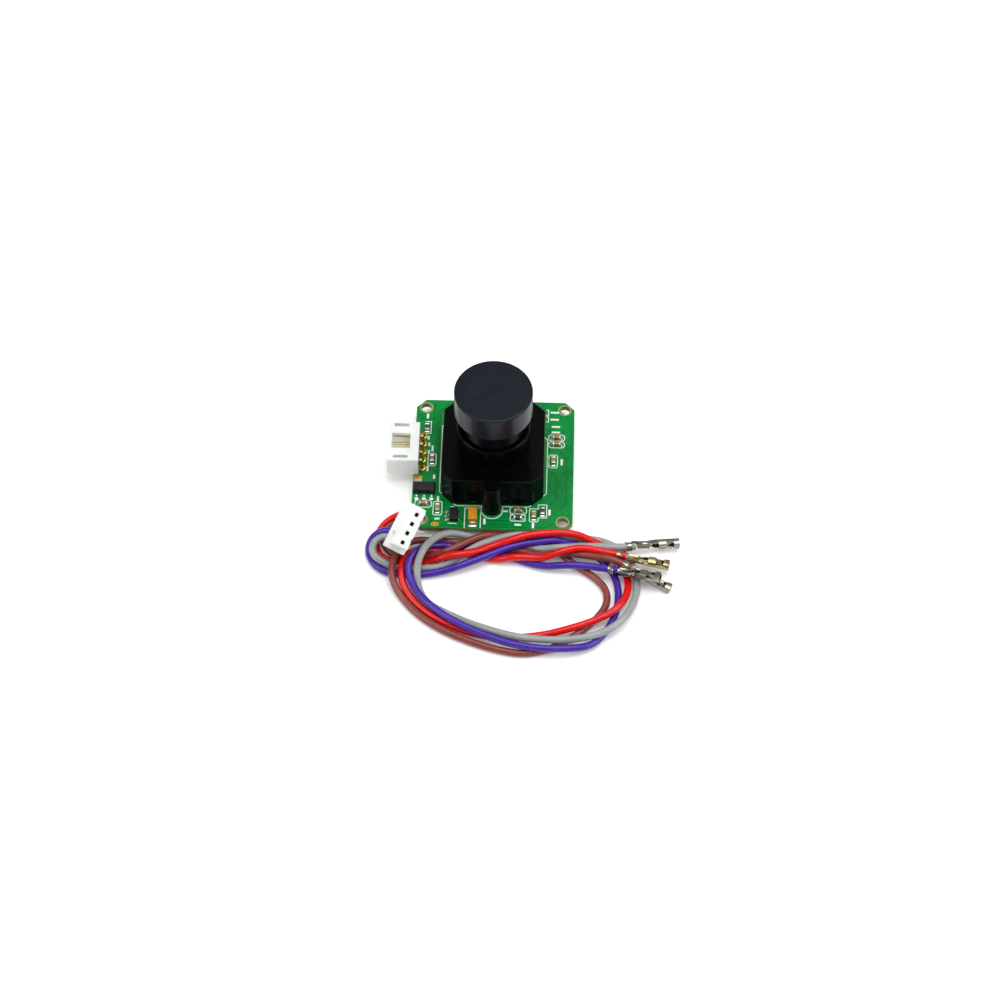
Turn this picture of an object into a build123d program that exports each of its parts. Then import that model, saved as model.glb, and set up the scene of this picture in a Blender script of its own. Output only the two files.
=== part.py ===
from build123d import *
import math
import os

os.makedirs("parts", exist_ok=True)

# A board camera: a square circuit board with a screw-in lens on its front, its cap on,
# and the four-wire lead that plugs into its side-entry header, lying unplugged.
# Millimetres. +Z is the lens axis, +X is to the right of the header, +Y is the far side.
# The origin is the middle of the four mounting holes, on the board's rear face.

# Circuit board
board_side = 32.0
board_thickness = 1.2
board_corner = 1.9
hole_from_edge = 2.0
hole_diameter = 2.2

# Lens holder
holder_side = 20.2
holder_height = 7.5
holder_corner = 2.2
holder_edge_round = 0.25
boss_reach = 10.9
boss_radius = 1.9
pilot_diameter = 1.6
pilot_depth = 5.5
tube_diameter = 14.4
tube_height = 5.4
bore_diameter = 12.0
cavity_side = 15.4
cavity_height = 3.6
filter_side = 8.6
filter_thickness = 0.6
filter_gap = 0.05
shelf_thickness = 0.7
shelf_opening = 7.6
mark_place = (6.2, -6.6)
mark_diameter = 1.7
mark_depth = 0.2

# Screws that hold the lens holder, driven from behind the board
screw_head_diameter = 3.4
screw_head_height = 1.5
screw_hole_diameter = 2.1
screw_length = 5.8
screw_slot_length = 2.0
screw_slot_width = 0.45
screw_slot_depth = 0.7

# Image sensor under the lens
sensor_side = 9.0
sensor_height = 1.5
sensor_wall = 0.9
sensor_floor = 0.5
die_size = (5.4, 4.6, 0.35)
sensor_glass_side = 8.2
sensor_glass_thickness = 0.45

# Lens: barrel, glass and rings, measured from the barrel's rear end
barrel_rear = 7.5
thread_diameter = 11.9
thread_length = 12.0
head_diameter = 13.8
head_length = 4.3
front_bore_diameter = 11.2
front_seat = 12.8
rear_bore_diameter = 9.2
rear_seat = 10.0
stop_diameter = 5.6
glass_gap = 0.05
front_glass_edge = 1.5
middle_glass_edge = 1.7
spacer_length = 2.6
spacer_opening = 6.8
rear_glass_edge = 1.6
ring_length = 1.2
front_ring_opening = 9.0
ring_notch = 0.8

# Lens cap
cap_wall = 0.75
cap_top_thickness = 0.9
cap_fit = 0.05
cap_skirt_below_head = 0.4
cap_edge_round = 0.35

# Side-entry header on the left edge, mouth towards -X
circuits = 4
pitch = 2.0
header_middle_y = 1.8
header_from_edge = 1.1
header_length = 9.8
header_depth = 6.3
header_height = 4.8
header_wall = 0.8
header_back_wall = 1.2
window_width = 3.7
window_depth = 3.6
window_from_mouth = 0.9
slot_width = 0.7
slot_depth = 2.9
slot_offset = 3.95
pin_side = 0.5
pins_from_header = 0.6
pin_hole_diameter = 0.8
pin_tail = 0.9
pin_from_mouth = 1.0

# Regulator, small driver and tantalum capacitor on the front of the board
regulator_place = (-13.6, -6.6)
regulator_size = (4.4, 2.3, 1.2)
regulator_lead_pitch = 1.5
regulator_lead_width = 0.45
regulator_lead_length = 0.95
regulator_tab_width = 1.5
regulator_tab_length = 1.1
regulator_tab_offset = -1.4
regulator_metal = 0.4
driver_place = (-7.5, -13.0)
driver_size = (1.7, 2.9, 1.1)
driver_lead_pitch = 0.95
driver_lead_width = 0.35
driver_lead_length = 0.6
driver_lead_thickness = 0.15
tantalum_place = (-3.75, -13.15)
tantalum_size = (1.75, 3.2, 1.6)
tantalum_end = (1.2, 0.35, 0.75)

# Chip parts: place on the front of the board and turn in degrees
chip_length = 1.6
chip_width = 0.85
chip_end = 0.35
capacitor_height = 0.8
resistor_height = 0.5
filter_capacitor_y = 0.8
filter_capacitor_share = 0.418
front_capacitors = [
    (-13.7, -10.2, 0), (-10.8, -11.3, 90), (5.2, -11.45, 0), (8.3, -12.5, 90),
    (12.5, 6.9, 0), (12.5, 5.2, 0), (11.9, 1.0, 90),
]
corner_resistor = (2.3, 8.9)
front_resistors = [(10.0, -11.5, 90)]
rear_capacitors = [(-8.2, 7.0, 0), (-8.2, 5.2, 0), (8.2, 9.4, 90), (10.2, 9.4, 90), (-5.2, -8.4, 0), (5.2, -8.4, 0)]
rear_resistors = [(-8.2, -3.4, 90), (-10.0, -3.4, 90), (-11.8, -3.4, 90), (4.4, 7.4, 0)]
inductor_place = (5.15, -13.2)
inductor_height = 0.75

# Chips on the rear of the board
processor_side = 7.0
processor_height = 1.5
processor_standoff = 0.1
processor_leads_per_side = 12
processor_lead_pitch = 0.5
processor_lead_width = 0.22
processor_lead_reach = 1.0
foot_length = 0.5
lead_thickness = 0.13
memory_place = (9.6, -1.2)
memory_size = (3.9, 5.0, 1.25)
memory_lead_pitch = 1.27
memory_lead_width = 0.42
memory_lead_reach = 1.0
crystal_place = (-9.6, 0.9)
crystal_base = (5.0, 3.2, 0.5)
crystal_lid = (4.6, 2.8, 0.6)

# Plug of the lead: middle of its mating face, the way its contacts face back, and its row
plug_face = (-15.54, -22.73, 10.0)
plug_back = (-0.229, 0.584, -0.779)
plug_row = (-0.428, -0.779, -0.458)
plug_depth = 7.0
plug_nose_length = 8.0
plug_nose_thickness = 3.0
plug_nose_depth = 4.6
plug_flange_length = 9.8
plug_flange_thickness = 4.3
plug_pad_length = 3.2
plug_pad_width = 3.0
plug_pad_rise = 0.5
plug_cell = 1.5
plug_mouth = 0.8
plug_mouth_wall = 0.7
plug_notch_width = 0.7
plug_notch_depth = 0.35
contact_gap = 0.03
contact_bore = 0.9
contact_length = 4.9

# Wires: their section and, for each, the points of its route from the plug outwards
wire_diameter = 1.3
exit_run = 0.9
wire_routes = {
    "red": [
        (-16.8, -15.0, 4.3), (-18.8, -14.4, 2.6), (-20.8, -14.7, 0.8), (-22.3, -16.2, -0.5),
        (-22.8, -19.1, -0.8), (-21.9, -21.7, -0.8), (-19.5, -23.1, -0.8), (-15.7, -23.2, -0.8),
        (-12.0, -23.1, -0.7), (-8.6, -23.0, 1.5), (-5.5, -22.8, 1.9), (-2.8, -21.6, 1.3),
        (-0.7, -20.4, 0.8), (1.4, -19.5, 0.9), (3.8, -18.9, 1.6), (7.7, -17.7, 2.0),
        (13.6, -17.0, 2.0), (16.9, -17.3, 1.8), (19.3, -17.6, 0.6), (21.3, -18.0, -0.4),
        (23.3, -19.2, -0.8), (25.3, -21.6, -0.8), (26.8, -24.6, -0.8), (27.2, -28.2, -0.5),
        (26.3, -32.1, 0.6), (23.8, -35.0, 0.6), (19.9, -37.2, 0.6), (15.5, -38.7, 0.2),
        (10.7, -39.6, -0.8), (5.1, -40.4, -0.8), (-0.3, -40.2, -0.8), (-5.3, -38.8, -0.8),
        (-10.3, -36.2, -0.8), (-14.4, -32.7, -0.8), (-16.8, -29.2, -0.2), (-17.4, -26.4, 0.8),
        (-16.9, -23.2, 0.8), (-15.2, -21.2, 0.5), (-13.1, -20.4, -0.2), (-10.3, -20.5, -0.8),
        (-5.6, -20.7, -0.8), (-1.8, -21.5, -0.8), (1.7, -22.2, -0.6), (4.1, -22.3, 0.6),
        (6.8, -22.2, 0.6), (10.0, -22.5, 0.6), (12.3, -22.0, 1.5), (15.0, -21.2, 2.0),
        (18.3, -20.4, 1.8), (22.8, -20.9, 1.0), (27.0, -21.8, 1.0),
    ],
    "brown": [
        (-17.9, -16.6, 3.2), (-19.8, -16.1, 1.6), (-21.0, -16.6, 0.0), (-21.3, -18.6, -0.8),
        (-19.8, -21.0, -0.8), (-17.2, -21.9, -0.8), (-14.0, -21.8, -0.8), (-11.1, -21.7, -0.2),
        (-7.9, -21.1, 0.8), (-4.5, -18.7, 0.6), (-1.0, -17.1, 0.7), (1.8, -16.8, -0.2),
        (4.5, -16.2, -0.8), (7.3, -16.1, -0.8), (10.6, -17.3, -0.8), (14.3, -20.7, -0.8),
        (17.4, -23.5, -0.8), (20.6, -25.7, -0.8), (22.8, -28.4, -0.8), (23.1, -31.6, -0.8),
        (21.7, -34.6, -0.8), (19.0, -37.6, -0.8), (15.7, -40.5, -0.8), (11.9, -42.9, -0.8),
        (7.2, -44.1, -0.8), (2.1, -43.3, -0.8), (-3.3, -41.5, -0.8), (-8.8, -39.0, -0.8),
        (-13.7, -35.5, -0.8), (-17.1, -31.4, -0.8), (-18.8, -28.5, 0.1), (-19.3, -26.1, 1.1),
        (-18.7, -23.0, 1.0), (-17.2, -20.1, 0.8), (-14.8, -18.3, 0.1), (-11.6, -17.8, -0.8),
        (-7.1, -17.9, -0.8), (-2.5, -18.6, -0.8), (2.4, -19.6, -0.8), (6.6, -19.8, -0.8),
        (9.9, -21.3, -0.1), (13.3, -21.0, 0.6), (16.8, -21.2, 0.6), (20.1, -21.9, 0.9),
        (24.1, -22.9, 1.8), (28.0, -24.7, 1.0),
    ],
    "purple": [
        (-19.2, -17.9, 2.6), (-21.5, -17.3, 1.5), (-23.5, -18.3, 0.4), (-24.2, -20.6, -0.8),
        (-23.0, -23.7, -0.8), (-20.3, -25.8, -0.8), (-16.8, -26.2, -0.8), (-12.9, -26.0, -0.8),
        (-9.0, -25.4, -0.3), (-5.1, -24.3, 0.6), (-1.0, -22.3, 0.6), (3.2, -20.1, 0.6),
        (6.5, -19.0, 0.6), (9.7, -18.4, 0.6), (12.6, -18.0, 0.8), (15.2, -17.9, -0.3),
        (17.2, -18.4, -0.8), (19.8, -19.8, -0.8), (22.3, -21.9, -0.8), (24.2, -24.7, -0.8),
        (25.2, -28.0, -0.8), (25.2, -31.6, -0.8), (24.5, -35.1, -0.8), (22.9, -38.4, -0.8),
        (20.2, -42.0, -0.4), (15.8, -43.5, 0.6), (10.6, -43.6, 0.6), (5.2, -42.9, 0.6),
        (-0.2, -41.0, 0.6), (-5.5, -38.4, 0.6), (-10.3, -35.1, 0.6), (-14.0, -31.2, 0.5),
        (-15.9, -27.3, 0.8), (-15.9, -24.5, 2.0), (-14.5, -22.3, 2.1), (-12.3, -20.2, 1.1),
        (-9.6, -19.1, -0.4), (-5.9, -19.3, -0.8), (-1.9, -20.0, -0.8), (1.5, -20.7, -0.8),
        (4.2, -21.3, -0.8), (7.0, -22.6, -0.8), (10.8, -23.7, -0.3), (13.3, -23.9, 0.4),
        (16.4, -23.8, 0.6), (21.0, -24.3, 0.8), (25.4, -25.5, 1.5),
    ],
    "gray": [
        (-19.6, -19.1, 2.0), (-21.5, -18.9, 1.8), (-23.1, -20.3, 1.4), (-23.1, -22.6, 0.9),
        (-21.0, -24.0, 0.1), (-17.6, -24.8, -0.6), (-13.5, -24.5, -0.8), (-9.8, -24.3, -0.6),
        (-6.3, -22.7, 0.4), (-2.9, -19.8, 0.6), (0.6, -18.2, 0.6), (4.3, -16.9, 0.6),
        (7.9, -16.8, 0.6), (11.0, -16.7, 0.6), (13.6, -16.7, -0.4), (16.6, -16.5, -0.8),
        (19.5, -16.5, -0.8), (22.5, -17.1, -0.8), (25.4, -18.8, -0.8), (27.6, -21.6, -0.8),
        (28.8, -25.3, -0.8), (28.8, -29.9, -0.3), (27.2, -34.9, 0.6), (24.6, -38.1, 0.6),
        (20.9, -40.3, 0.7), (16.1, -41.4, 0.6), (10.9, -41.6, 0.6), (5.7, -41.1, 0.6),
        (1.3, -39.8, 0.5), (-3.9, -37.1, -0.8), (-8.2, -35.0, -0.8), (-11.9, -32.9, -0.8),
        (-13.8, -29.6, -0.8), (-14.2, -27.1, 0.7), (-14.1, -25.2, 2.0), (-13.3, -22.9, 2.9),
        (-11.9, -20.4, 2.6), (-10.0, -18.2, 1.7), (-8.1, -17.0, 0.9), (-5.9, -16.7, 0.0),
        (-3.4, -16.8, -0.8), (1.8, -18.3, -0.8), (5.7, -18.3, -0.8), (8.1, -18.9, -0.8),
        (10.3, -19.7, -0.1), (12.6, -19.8, 0.6), (15.8, -19.5, 0.6), (20.1, -19.2, 0.6),
        (24.5, -19.5, 0.8), (28.9, -19.0, 0.7),
    ],
}

# Sockets crimped on the free ends of the wires
crimp_gap = 0.02
insulation_crimp_length = 1.7
insulation_crimp_diameter = 1.9
insulation_bare = 0.5
wire_crimp_length = 2.4
wire_crimp_width = 1.3
neck_length = 1.0
neck_width = 1.0
neck_thickness = 0.25
socket_side = 1.9
socket_wall = 0.2
socket_length = 4.8

# Working sizes that follow from the ones above
board_top = board_thickness
hole_spacing = board_side - 2 * hole_from_edge
holder_top = board_top + holder_height
tube_top = holder_top + tube_height
cavity_top = board_top + cavity_height
shelf_top = cavity_top + filter_thickness + shelf_thickness
head_rear = barrel_rear + thread_length
head_front = head_rear + head_length
cap_diameter = head_diameter + 2 * (cap_fit + cap_wall)
header_bottom = board_top
header_rear_x = header_from_edge - board_side / 2
header_mouth_x = header_rear_x - header_depth
pin_row_x = header_rear_x + pins_from_header
pin_height = header_bottom + header_height / 2
pin_places = [header_middle_y + pitch * (i - (circuits - 1) / 2) for i in range(circuits)]
pins_to_holder = -holder_side / 2 - pin_row_x - pin_side / 2
filter_capacitor_x = pin_row_x + pin_side / 2 + filter_capacitor_share * pins_to_holder
front_capacitors.append((filter_capacitor_x, filter_capacitor_y, 90))
front_resistors.append((corner_resistor[0] - board_side / 2, corner_resistor[1], 90))


def save(part, name):
    part.label = name
    export_step(part, f"parts/{name}.step")


# Circuit board with mounting holes, holder screw holes and a row of plated holes for the header
with BuildPart() as circuit_board:
    with BuildSketch() as board_outline:
        Rectangle(board_side, board_side)
        chamfer(board_outline.vertices(), length=board_corner)
        with GridLocations(hole_spacing, hole_spacing, 2, 2):
            Circle(hole_diameter / 2, mode=Mode.SUBTRACT)
        with GridLocations(0, 2 * boss_reach, 1, 2):
            Circle(screw_hole_diameter / 2, mode=Mode.SUBTRACT)
        with Locations(*[(pin_row_x, y) for y in pin_places + [pin_places[-1] + pitch]]):
            Circle(pin_hole_diameter / 2, mode=Mode.SUBTRACT)
    extrude(amount=board_thickness)
save(circuit_board.part, "circuit_board")

# Lens holder: a chamfered block with two screw bosses and a threaded tube, hollow over the sensor
with BuildPart() as lens_holder:
    with BuildSketch(Plane.XY.offset(board_top)) as holder_outline:
        Rectangle(holder_side, holder_side)
        chamfer(holder_outline.vertices(), length=holder_corner)
        SlotCenterToCenter(2 * boss_reach, 2 * boss_radius, rotation=90)
    extrude(amount=holder_height)
    rim = lens_holder.faces().sort_by(Axis.Z)[-1].edges()
    fillet(rim, radius=holder_edge_round)
    with BuildSketch(Plane.XY.offset(holder_top)):
        Circle(tube_diameter / 2)
    extrude(amount=tube_height)
    tube_rim = lens_holder.edges().filter_by(GeomType.CIRCLE).sort_by(Axis.Z)[-1]
    chamfer(tube_rim, length=holder_edge_round)
    with BuildSketch(Plane.XY.offset(tube_top)):
        Circle(bore_diameter / 2)
    extrude(amount=shelf_top - tube_top, mode=Mode.SUBTRACT)
    with BuildSketch(Plane.XY.offset(board_top)):
        Circle(shelf_opening / 2)
    extrude(amount=holder_height, mode=Mode.SUBTRACT)
    with BuildSketch(Plane.XY.offset(board_top)):
        RectangleRounded(cavity_side, cavity_side, 1.0)
    extrude(amount=cavity_height, mode=Mode.SUBTRACT)
    with BuildSketch(Plane.XY.offset(cavity_top)):
        Rectangle(filter_side + 2 * filter_gap, filter_side + 2 * filter_gap)
    extrude(amount=filter_thickness, mode=Mode.SUBTRACT)
    with BuildSketch(Plane.XY.offset(board_top)):
        with GridLocations(0, 2 * boss_reach, 1, 2):
            Circle(pilot_diameter / 2)
    extrude(amount=pilot_depth, mode=Mode.SUBTRACT)
    with BuildSketch(Plane.XY.offset(holder_top)):
        with Locations(mark_place):
            Circle(mark_diameter / 2)
    extrude(amount=-mark_depth, mode=Mode.SUBTRACT)
save(lens_holder.part, "lens_holder")

# Infrared filter glued under the shelf of the holder
with BuildPart() as infrared_filter:
    with BuildSketch(Plane.XY.offset(cavity_top)):
        Rectangle(filter_side, filter_side)
    extrude(amount=filter_thickness)
    chamfer(infrared_filter.edges().filter_by(Axis.Z), length=0.3)
save(infrared_filter.part, "infrared_filter")

# Two self-tapping screws through the board into the bosses
with BuildPart() as holder_screws:
    with BuildSketch():
        with GridLocations(0, 2 * boss_reach, 1, 2):
            Circle(screw_head_diameter / 2)
    extrude(amount=-screw_head_height)
    head_edges = holder_screws.edges().filter_by(GeomType.CIRCLE).group_by(Axis.Z)[0]
    fillet(head_edges, radius=0.4)
    with BuildSketch():
        with GridLocations(0, 2 * boss_reach, 1, 2):
            Circle(pilot_diameter / 2)
    extrude(amount=screw_length)
    with BuildSketch(Plane.XY.offset(-screw_head_height)):
        with GridLocations(0, 2 * boss_reach, 1, 2):
            Rectangle(screw_slot_length, screw_slot_width)
            Rectangle(screw_slot_width, screw_slot_length)
    extrude(amount=screw_slot_depth, mode=Mode.SUBTRACT)
save(holder_screws.part, "holder_screws")

# Image sensor: open ceramic package, silicon die and cover glass
with BuildPart() as sensor_package:
    with BuildSketch(Plane.XY.offset(board_top)):
        Rectangle(sensor_side, sensor_side)
    extrude(amount=sensor_height)
    with BuildSketch(Plane.XY.offset(board_top + sensor_floor)):
        Rectangle(sensor_side - 2 * sensor_wall, sensor_side - 2 * sensor_wall)
    extrude(amount=sensor_height, mode=Mode.SUBTRACT)
save(sensor_package.part, "sensor_package")

with BuildPart() as sensor_die:
    with BuildSketch(Plane.XY.offset(board_top + sensor_floor)):
        Rectangle(die_size[0], die_size[1])
    extrude(amount=die_size[2])
save(sensor_die.part, "sensor_die")

with BuildPart() as sensor_glass:
    with BuildSketch(Plane.XY.offset(board_top + sensor_height)):
        Rectangle(sensor_glass_side, sensor_glass_side)
    extrude(amount=sensor_glass_thickness)
save(sensor_glass.part, "sensor_glass")


# Lens barrel: threaded body, wider head, front and rear bores that meet at the stop
def barrel_z(height):
    return barrel_rear + height


with BuildPart() as lens_barrel:
    with BuildSketch(Plane.XZ):
        with BuildLine():
            Polyline(
                (stop_diameter / 2, barrel_z(rear_seat)),
                (rear_bore_diameter / 2, barrel_z(rear_seat)),
                (rear_bore_diameter / 2, barrel_z(0)),
                (thread_diameter / 2 - 0.3, barrel_z(0)),
                (thread_diameter / 2, barrel_z(0.3)),
                (thread_diameter / 2, head_rear),
                (head_diameter / 2 - 0.3, head_rear),
                (head_diameter / 2, head_rear + 0.3),
                (head_diameter / 2, head_front - 0.3),
                (head_diameter / 2 - 0.3, head_front),
                (front_bore_diameter / 2 + 0.4, head_front),
                (front_bore_diameter / 2, head_front - 0.4),
                (front_bore_diameter / 2, barrel_z(front_seat)),
                (stop_diameter / 2 + 1.0, barrel_z(front_seat)),
                close=True,
            )
        make_face()
    revolve(axis=Axis.Z)
save(lens_barrel.part, "lens_barrel")


# Height of a spherical face above its rim's plane, half way out from the axis
def half_way_rise(rise, face_radius):
    sphere = (face_radius**2 + rise**2) / (2 * abs(rise))
    drop = sphere - math.sqrt(sphere**2 - face_radius**2 / 4)
    return rise - math.copysign(drop, rise)


# Glass elements: each is turned from its rim height, its half width and two arc rises
def glass_element(name, rear_z, edge, radius, rear_rise, front_rise, face_radius):
    with BuildPart() as element:
        with BuildSketch(Plane.XZ):
            with BuildLine():
                front_z = rear_z + edge
                Line((0, rear_z - rear_rise), (0, front_z + front_rise))
                front_mid = (face_radius / 2, front_z + half_way_rise(front_rise, face_radius))
                ThreePointArc((0, front_z + front_rise), front_mid, (face_radius, front_z))
                Line((face_radius, front_z), (radius, front_z))
                Line((radius, front_z), (radius, rear_z))
                Line((radius, rear_z), (face_radius, rear_z))
                rear_mid = (face_radius / 2, rear_z - half_way_rise(rear_rise, face_radius))
                ThreePointArc((face_radius, rear_z), rear_mid, (0, rear_z - rear_rise))
            make_face()
        revolve(axis=Axis.Z)
    save(element.part, name)


front_glass_z = barrel_z(front_seat) + glass_gap
middle_glass_z = barrel_z(rear_seat) - glass_gap - middle_glass_edge
spacer_z = middle_glass_z - spacer_length
rear_glass_z = spacer_z - rear_glass_edge
rear_ring_z = rear_glass_z - glass_gap - ring_length
front_ring_z = front_glass_z + front_glass_edge + glass_gap
glass_element("front_glass", front_glass_z, front_glass_edge, front_bore_diameter / 2 - glass_gap,
              -0.6, 0.9, front_ring_opening / 2 - 0.2)
glass_element("middle_glass", middle_glass_z, middle_glass_edge, rear_bore_diameter / 2 - glass_gap,
              0.5, 0.5, stop_diameter / 2 - 0.1)
glass_element("rear_glass", rear_glass_z, rear_glass_edge, rear_bore_diameter / 2 - glass_gap,
              0.6, 0.4, spacer_opening / 2 - 0.2)

with BuildPart() as glass_spacer:
    with BuildSketch(Plane.XY.offset(spacer_z)):
        Circle(rear_bore_diameter / 2 - glass_gap)
        Circle(spacer_opening / 2, mode=Mode.SUBTRACT)
    extrude(amount=spacer_length)
save(glass_spacer.part, "glass_spacer")


# Retaining rings screwed into the barrel's two bores, each with two driver notches
def retaining_ring(name, rear_z, outer, opening, notch_z):
    with BuildPart() as ring:
        with BuildSketch(Plane.XY.offset(rear_z)):
            Circle(outer / 2)
            Circle(opening / 2, mode=Mode.SUBTRACT)
        extrude(amount=ring_length)
        with BuildSketch(Plane.XY.offset(notch_z)):
            Rectangle(outer, ring_notch)
        extrude(amount=ring_notch / 2, mode=Mode.SUBTRACT)
    save(ring.part, name)


retaining_ring("front_ring", front_ring_z, front_bore_diameter, front_ring_opening,
               front_ring_z + ring_length - ring_notch / 2)
retaining_ring("rear_ring", rear_ring_z, rear_bore_diameter, spacer_opening, rear_ring_z)

# Lens cap: a plain turned cup that slips over the head of the lens
cap_rear = head_rear - cap_skirt_below_head
cap_roof = head_front + cap_fit
with BuildPart() as lens_cap:
    with BuildSketch(Plane.XY.offset(cap_rear)):
        Circle(cap_diameter / 2)
    extrude(amount=cap_roof + cap_top_thickness - cap_rear)
    fillet(lens_cap.edges().group_by(Axis.Z)[-1], radius=cap_edge_round)
    with BuildSketch(Plane.XY.offset(cap_rear)):
        Circle(head_diameter / 2 + cap_fit)
    extrude(amount=cap_roof - cap_rear, mode=Mode.SUBTRACT)
    mouth_edge = lens_cap.edges().filter_by(GeomType.CIRCLE).group_by(Axis.Z)[0].sort_by(SortBy.RADIUS)[0]
    chamfer(mouth_edge, length=0.2)
save(lens_cap.part, "lens_cap")

# Header housing: a box open at the mouth, with a window and two slots in its roof
header_middle_x = header_rear_x - header_depth / 2
with BuildPart() as header_housing:
    with BuildSketch(Plane.XY.offset(header_bottom)):
        with Locations((header_middle_x, header_middle_y)):
            Rectangle(header_depth, header_length)
    extrude(amount=header_height)
    chamfer(header_housing.faces().sort_by(Axis.Z)[-1].edges().filter_by(Axis.X), length=0.3)
    with BuildSketch(Plane(origin=(header_mouth_x, header_middle_y, pin_height), z_dir=(1, 0, 0))):
        Rectangle(header_height - 2 * header_wall, header_length - 2 * header_wall)
    extrude(amount=header_depth - header_back_wall, mode=Mode.SUBTRACT)
    with BuildSketch(Plane.XY.offset(pin_height)):
        with Locations((header_mouth_x + window_from_mouth + window_depth / 2, header_middle_y)):
            Rectangle(window_depth, window_width)
        with Locations((header_mouth_x + window_from_mouth + window_depth / 2, header_middle_y)):
            with GridLocations(0, 2 * slot_offset, 1, 2):
                Rectangle(slot_depth, slot_width)
    extrude(amount=header_height, mode=Mode.SUBTRACT)
    with BuildSketch(Plane(origin=(header_rear_x, 0, pin_height), z_dir=(-1, 0, 0), x_dir=(0, 1, 0))):
        with Locations(*[(y, 0) for y in pin_places]):
            Rectangle(pin_side, pin_side)
    extrude(amount=header_back_wall, mode=Mode.SUBTRACT)
save(header_housing.part, "header_housing")

# Header pins: square wire bent down through the board
with BuildPart() as header_pins:
    for y in pin_places:
        with BuildSketch(Plane.XZ.offset(-y - pin_side / 2)):
            with BuildLine():
                Polyline(
                    (header_mouth_x + pin_from_mouth, pin_height - pin_side / 2),
                    (pin_row_x - pin_side / 2, pin_height - pin_side / 2),
                    (pin_row_x - pin_side / 2, -pin_tail),
                    (pin_row_x + pin_side / 2, -pin_tail),
                    (pin_row_x + pin_side / 2, pin_height + pin_side / 2),
                    (header_mouth_x + pin_from_mouth, pin_height + pin_side / 2),
                    close=True,
                )
            make_face()
        extrude(amount=pin_side)
    fillet(header_pins.edges().filter_by(Axis.Y).group_by(Axis.X)[-1].group_by(Axis.Z)[-1], radius=0.3)
    chamfer(header_pins.faces().sort_by(Axis.X)[:circuits].edges().filter_by(Axis.Y), length=0.12)
save(header_pins.part, "header_pins")

# Regulator: moulded body, three short leads in front and its heat tab behind
regulator_x, regulator_y = regulator_place
with BuildPart() as regulator_body:
    with BuildSketch(Plane.XY.offset(board_top)):
        with Locations(regulator_place):
            Rectangle(regulator_size[0], regulator_size[1])
    extrude(amount=regulator_size[2])
    chamfer(regulator_body.faces().sort_by(Axis.Z)[-1].edges(), length=0.2)
save(regulator_body.part, "regulator_body")

with BuildPart() as regulator_leads:
    with BuildSketch(Plane.XY.offset(board_top)):
        lead_y = regulator_y - regulator_size[1] / 2 - regulator_lead_length / 2
        with Locations((regulator_x, lead_y)):
            with GridLocations(regulator_lead_pitch, 0, 3, 1):
                Rectangle(regulator_lead_width, regulator_lead_length)
        tab_y = regulator_y + regulator_size[1] / 2 + regulator_tab_length / 2
        with Locations((regulator_x + regulator_tab_offset, tab_y)):
            Rectangle(regulator_tab_width, regulator_tab_length)
    extrude(amount=regulator_metal)
    fillet(regulator_leads.faces().sort_by(Axis.Y)[:3].edges().filter_by(Axis.X).group_by(Axis.Z)[-1], radius=0.15)
save(regulator_leads.part, "regulator_leads")

# Driver: small five-lead chip
driver_x, driver_y = driver_place
with BuildPart() as driver_body:
    with BuildSketch(Plane.XY.offset(board_top)):
        with Locations(driver_place):
            Rectangle(driver_size[0], driver_size[1])
    extrude(amount=driver_size[2])
    chamfer(driver_body.faces().sort_by(Axis.Z)[-1].edges(), length=0.15)
save(driver_body.part, "driver_body")

with BuildPart() as driver_leads:
    lead_x = driver_size[0] / 2 + driver_lead_length / 2
    with BuildSketch(Plane.XY.offset(board_top)):
        with Locations((driver_x - lead_x, driver_y)):
            with GridLocations(0, driver_lead_pitch, 1, 3):
                Rectangle(driver_lead_length, driver_lead_width)
        with Locations((driver_x + lead_x, driver_y)):
            with GridLocations(0, 2 * driver_lead_pitch, 1, 2):
                Rectangle(driver_lead_length, driver_lead_width)
    extrude(amount=driver_lead_thickness)
save(driver_leads.part, "driver_leads")

# Tantalum capacitor: moulded block with a metal strip wrapped under each end
with BuildPart() as tantalum_body:
    with BuildSketch(Plane.XY.offset(board_top)):
        with Locations(tantalum_place):
            Rectangle(tantalum_size[0], tantalum_size[1])
    extrude(amount=tantalum_size[2])
    chamfer(tantalum_body.faces().sort_by(Axis.Z)[-1].edges(), length=0.15)
save(tantalum_body.part, "tantalum_body")

with BuildPart() as tantalum_ends:
    with BuildSketch(Plane.XY.offset(board_top)):
        with Locations(tantalum_place):
            with GridLocations(0, tantalum_size[1] + tantalum_end[1], 1, 2):
                Rectangle(tantalum_end[0], tantalum_end[1])
    extrude(amount=tantalum_end[2])
save(tantalum_ends.part, "tantalum_ends")


# Chip capacitors and resistors on both faces of the board, their bodies and their metal ends
def chip_seats(front_places, rear_places, height):
    front = [Location((x, y, board_top + height / 2), (0, 0, turn)) for x, y, turn in front_places]
    rear = [Location((x, y, -height / 2), (0, 0, turn)) for x, y, turn in rear_places]
    return front + rear


def chip_parts(name, seats, height):
    with BuildPart() as bodies:
        with Locations(*seats):
            Box(chip_length - 2 * chip_end, chip_width, height)
    save(bodies.part, f"{name}_bodies")
    with BuildPart() as ends:
        with Locations(*seats):
            with GridLocations(chip_length - chip_end, 0, 2, 1):
                Box(chip_end, chip_width, height)
        fillet(ends.edges().filter_by(Axis.Z), radius=0.08)
    save(ends.part, f"{name}_ends")


chip_parts("capacitor", chip_seats(front_capacitors, rear_capacitors, capacitor_height), capacitor_height)
chip_parts("resistor", chip_seats(front_resistors, rear_resistors, resistor_height), resistor_height)
chip_parts("inductor", chip_seats([inductor_place + (0,)], [], inductor_height), inductor_height)


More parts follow.
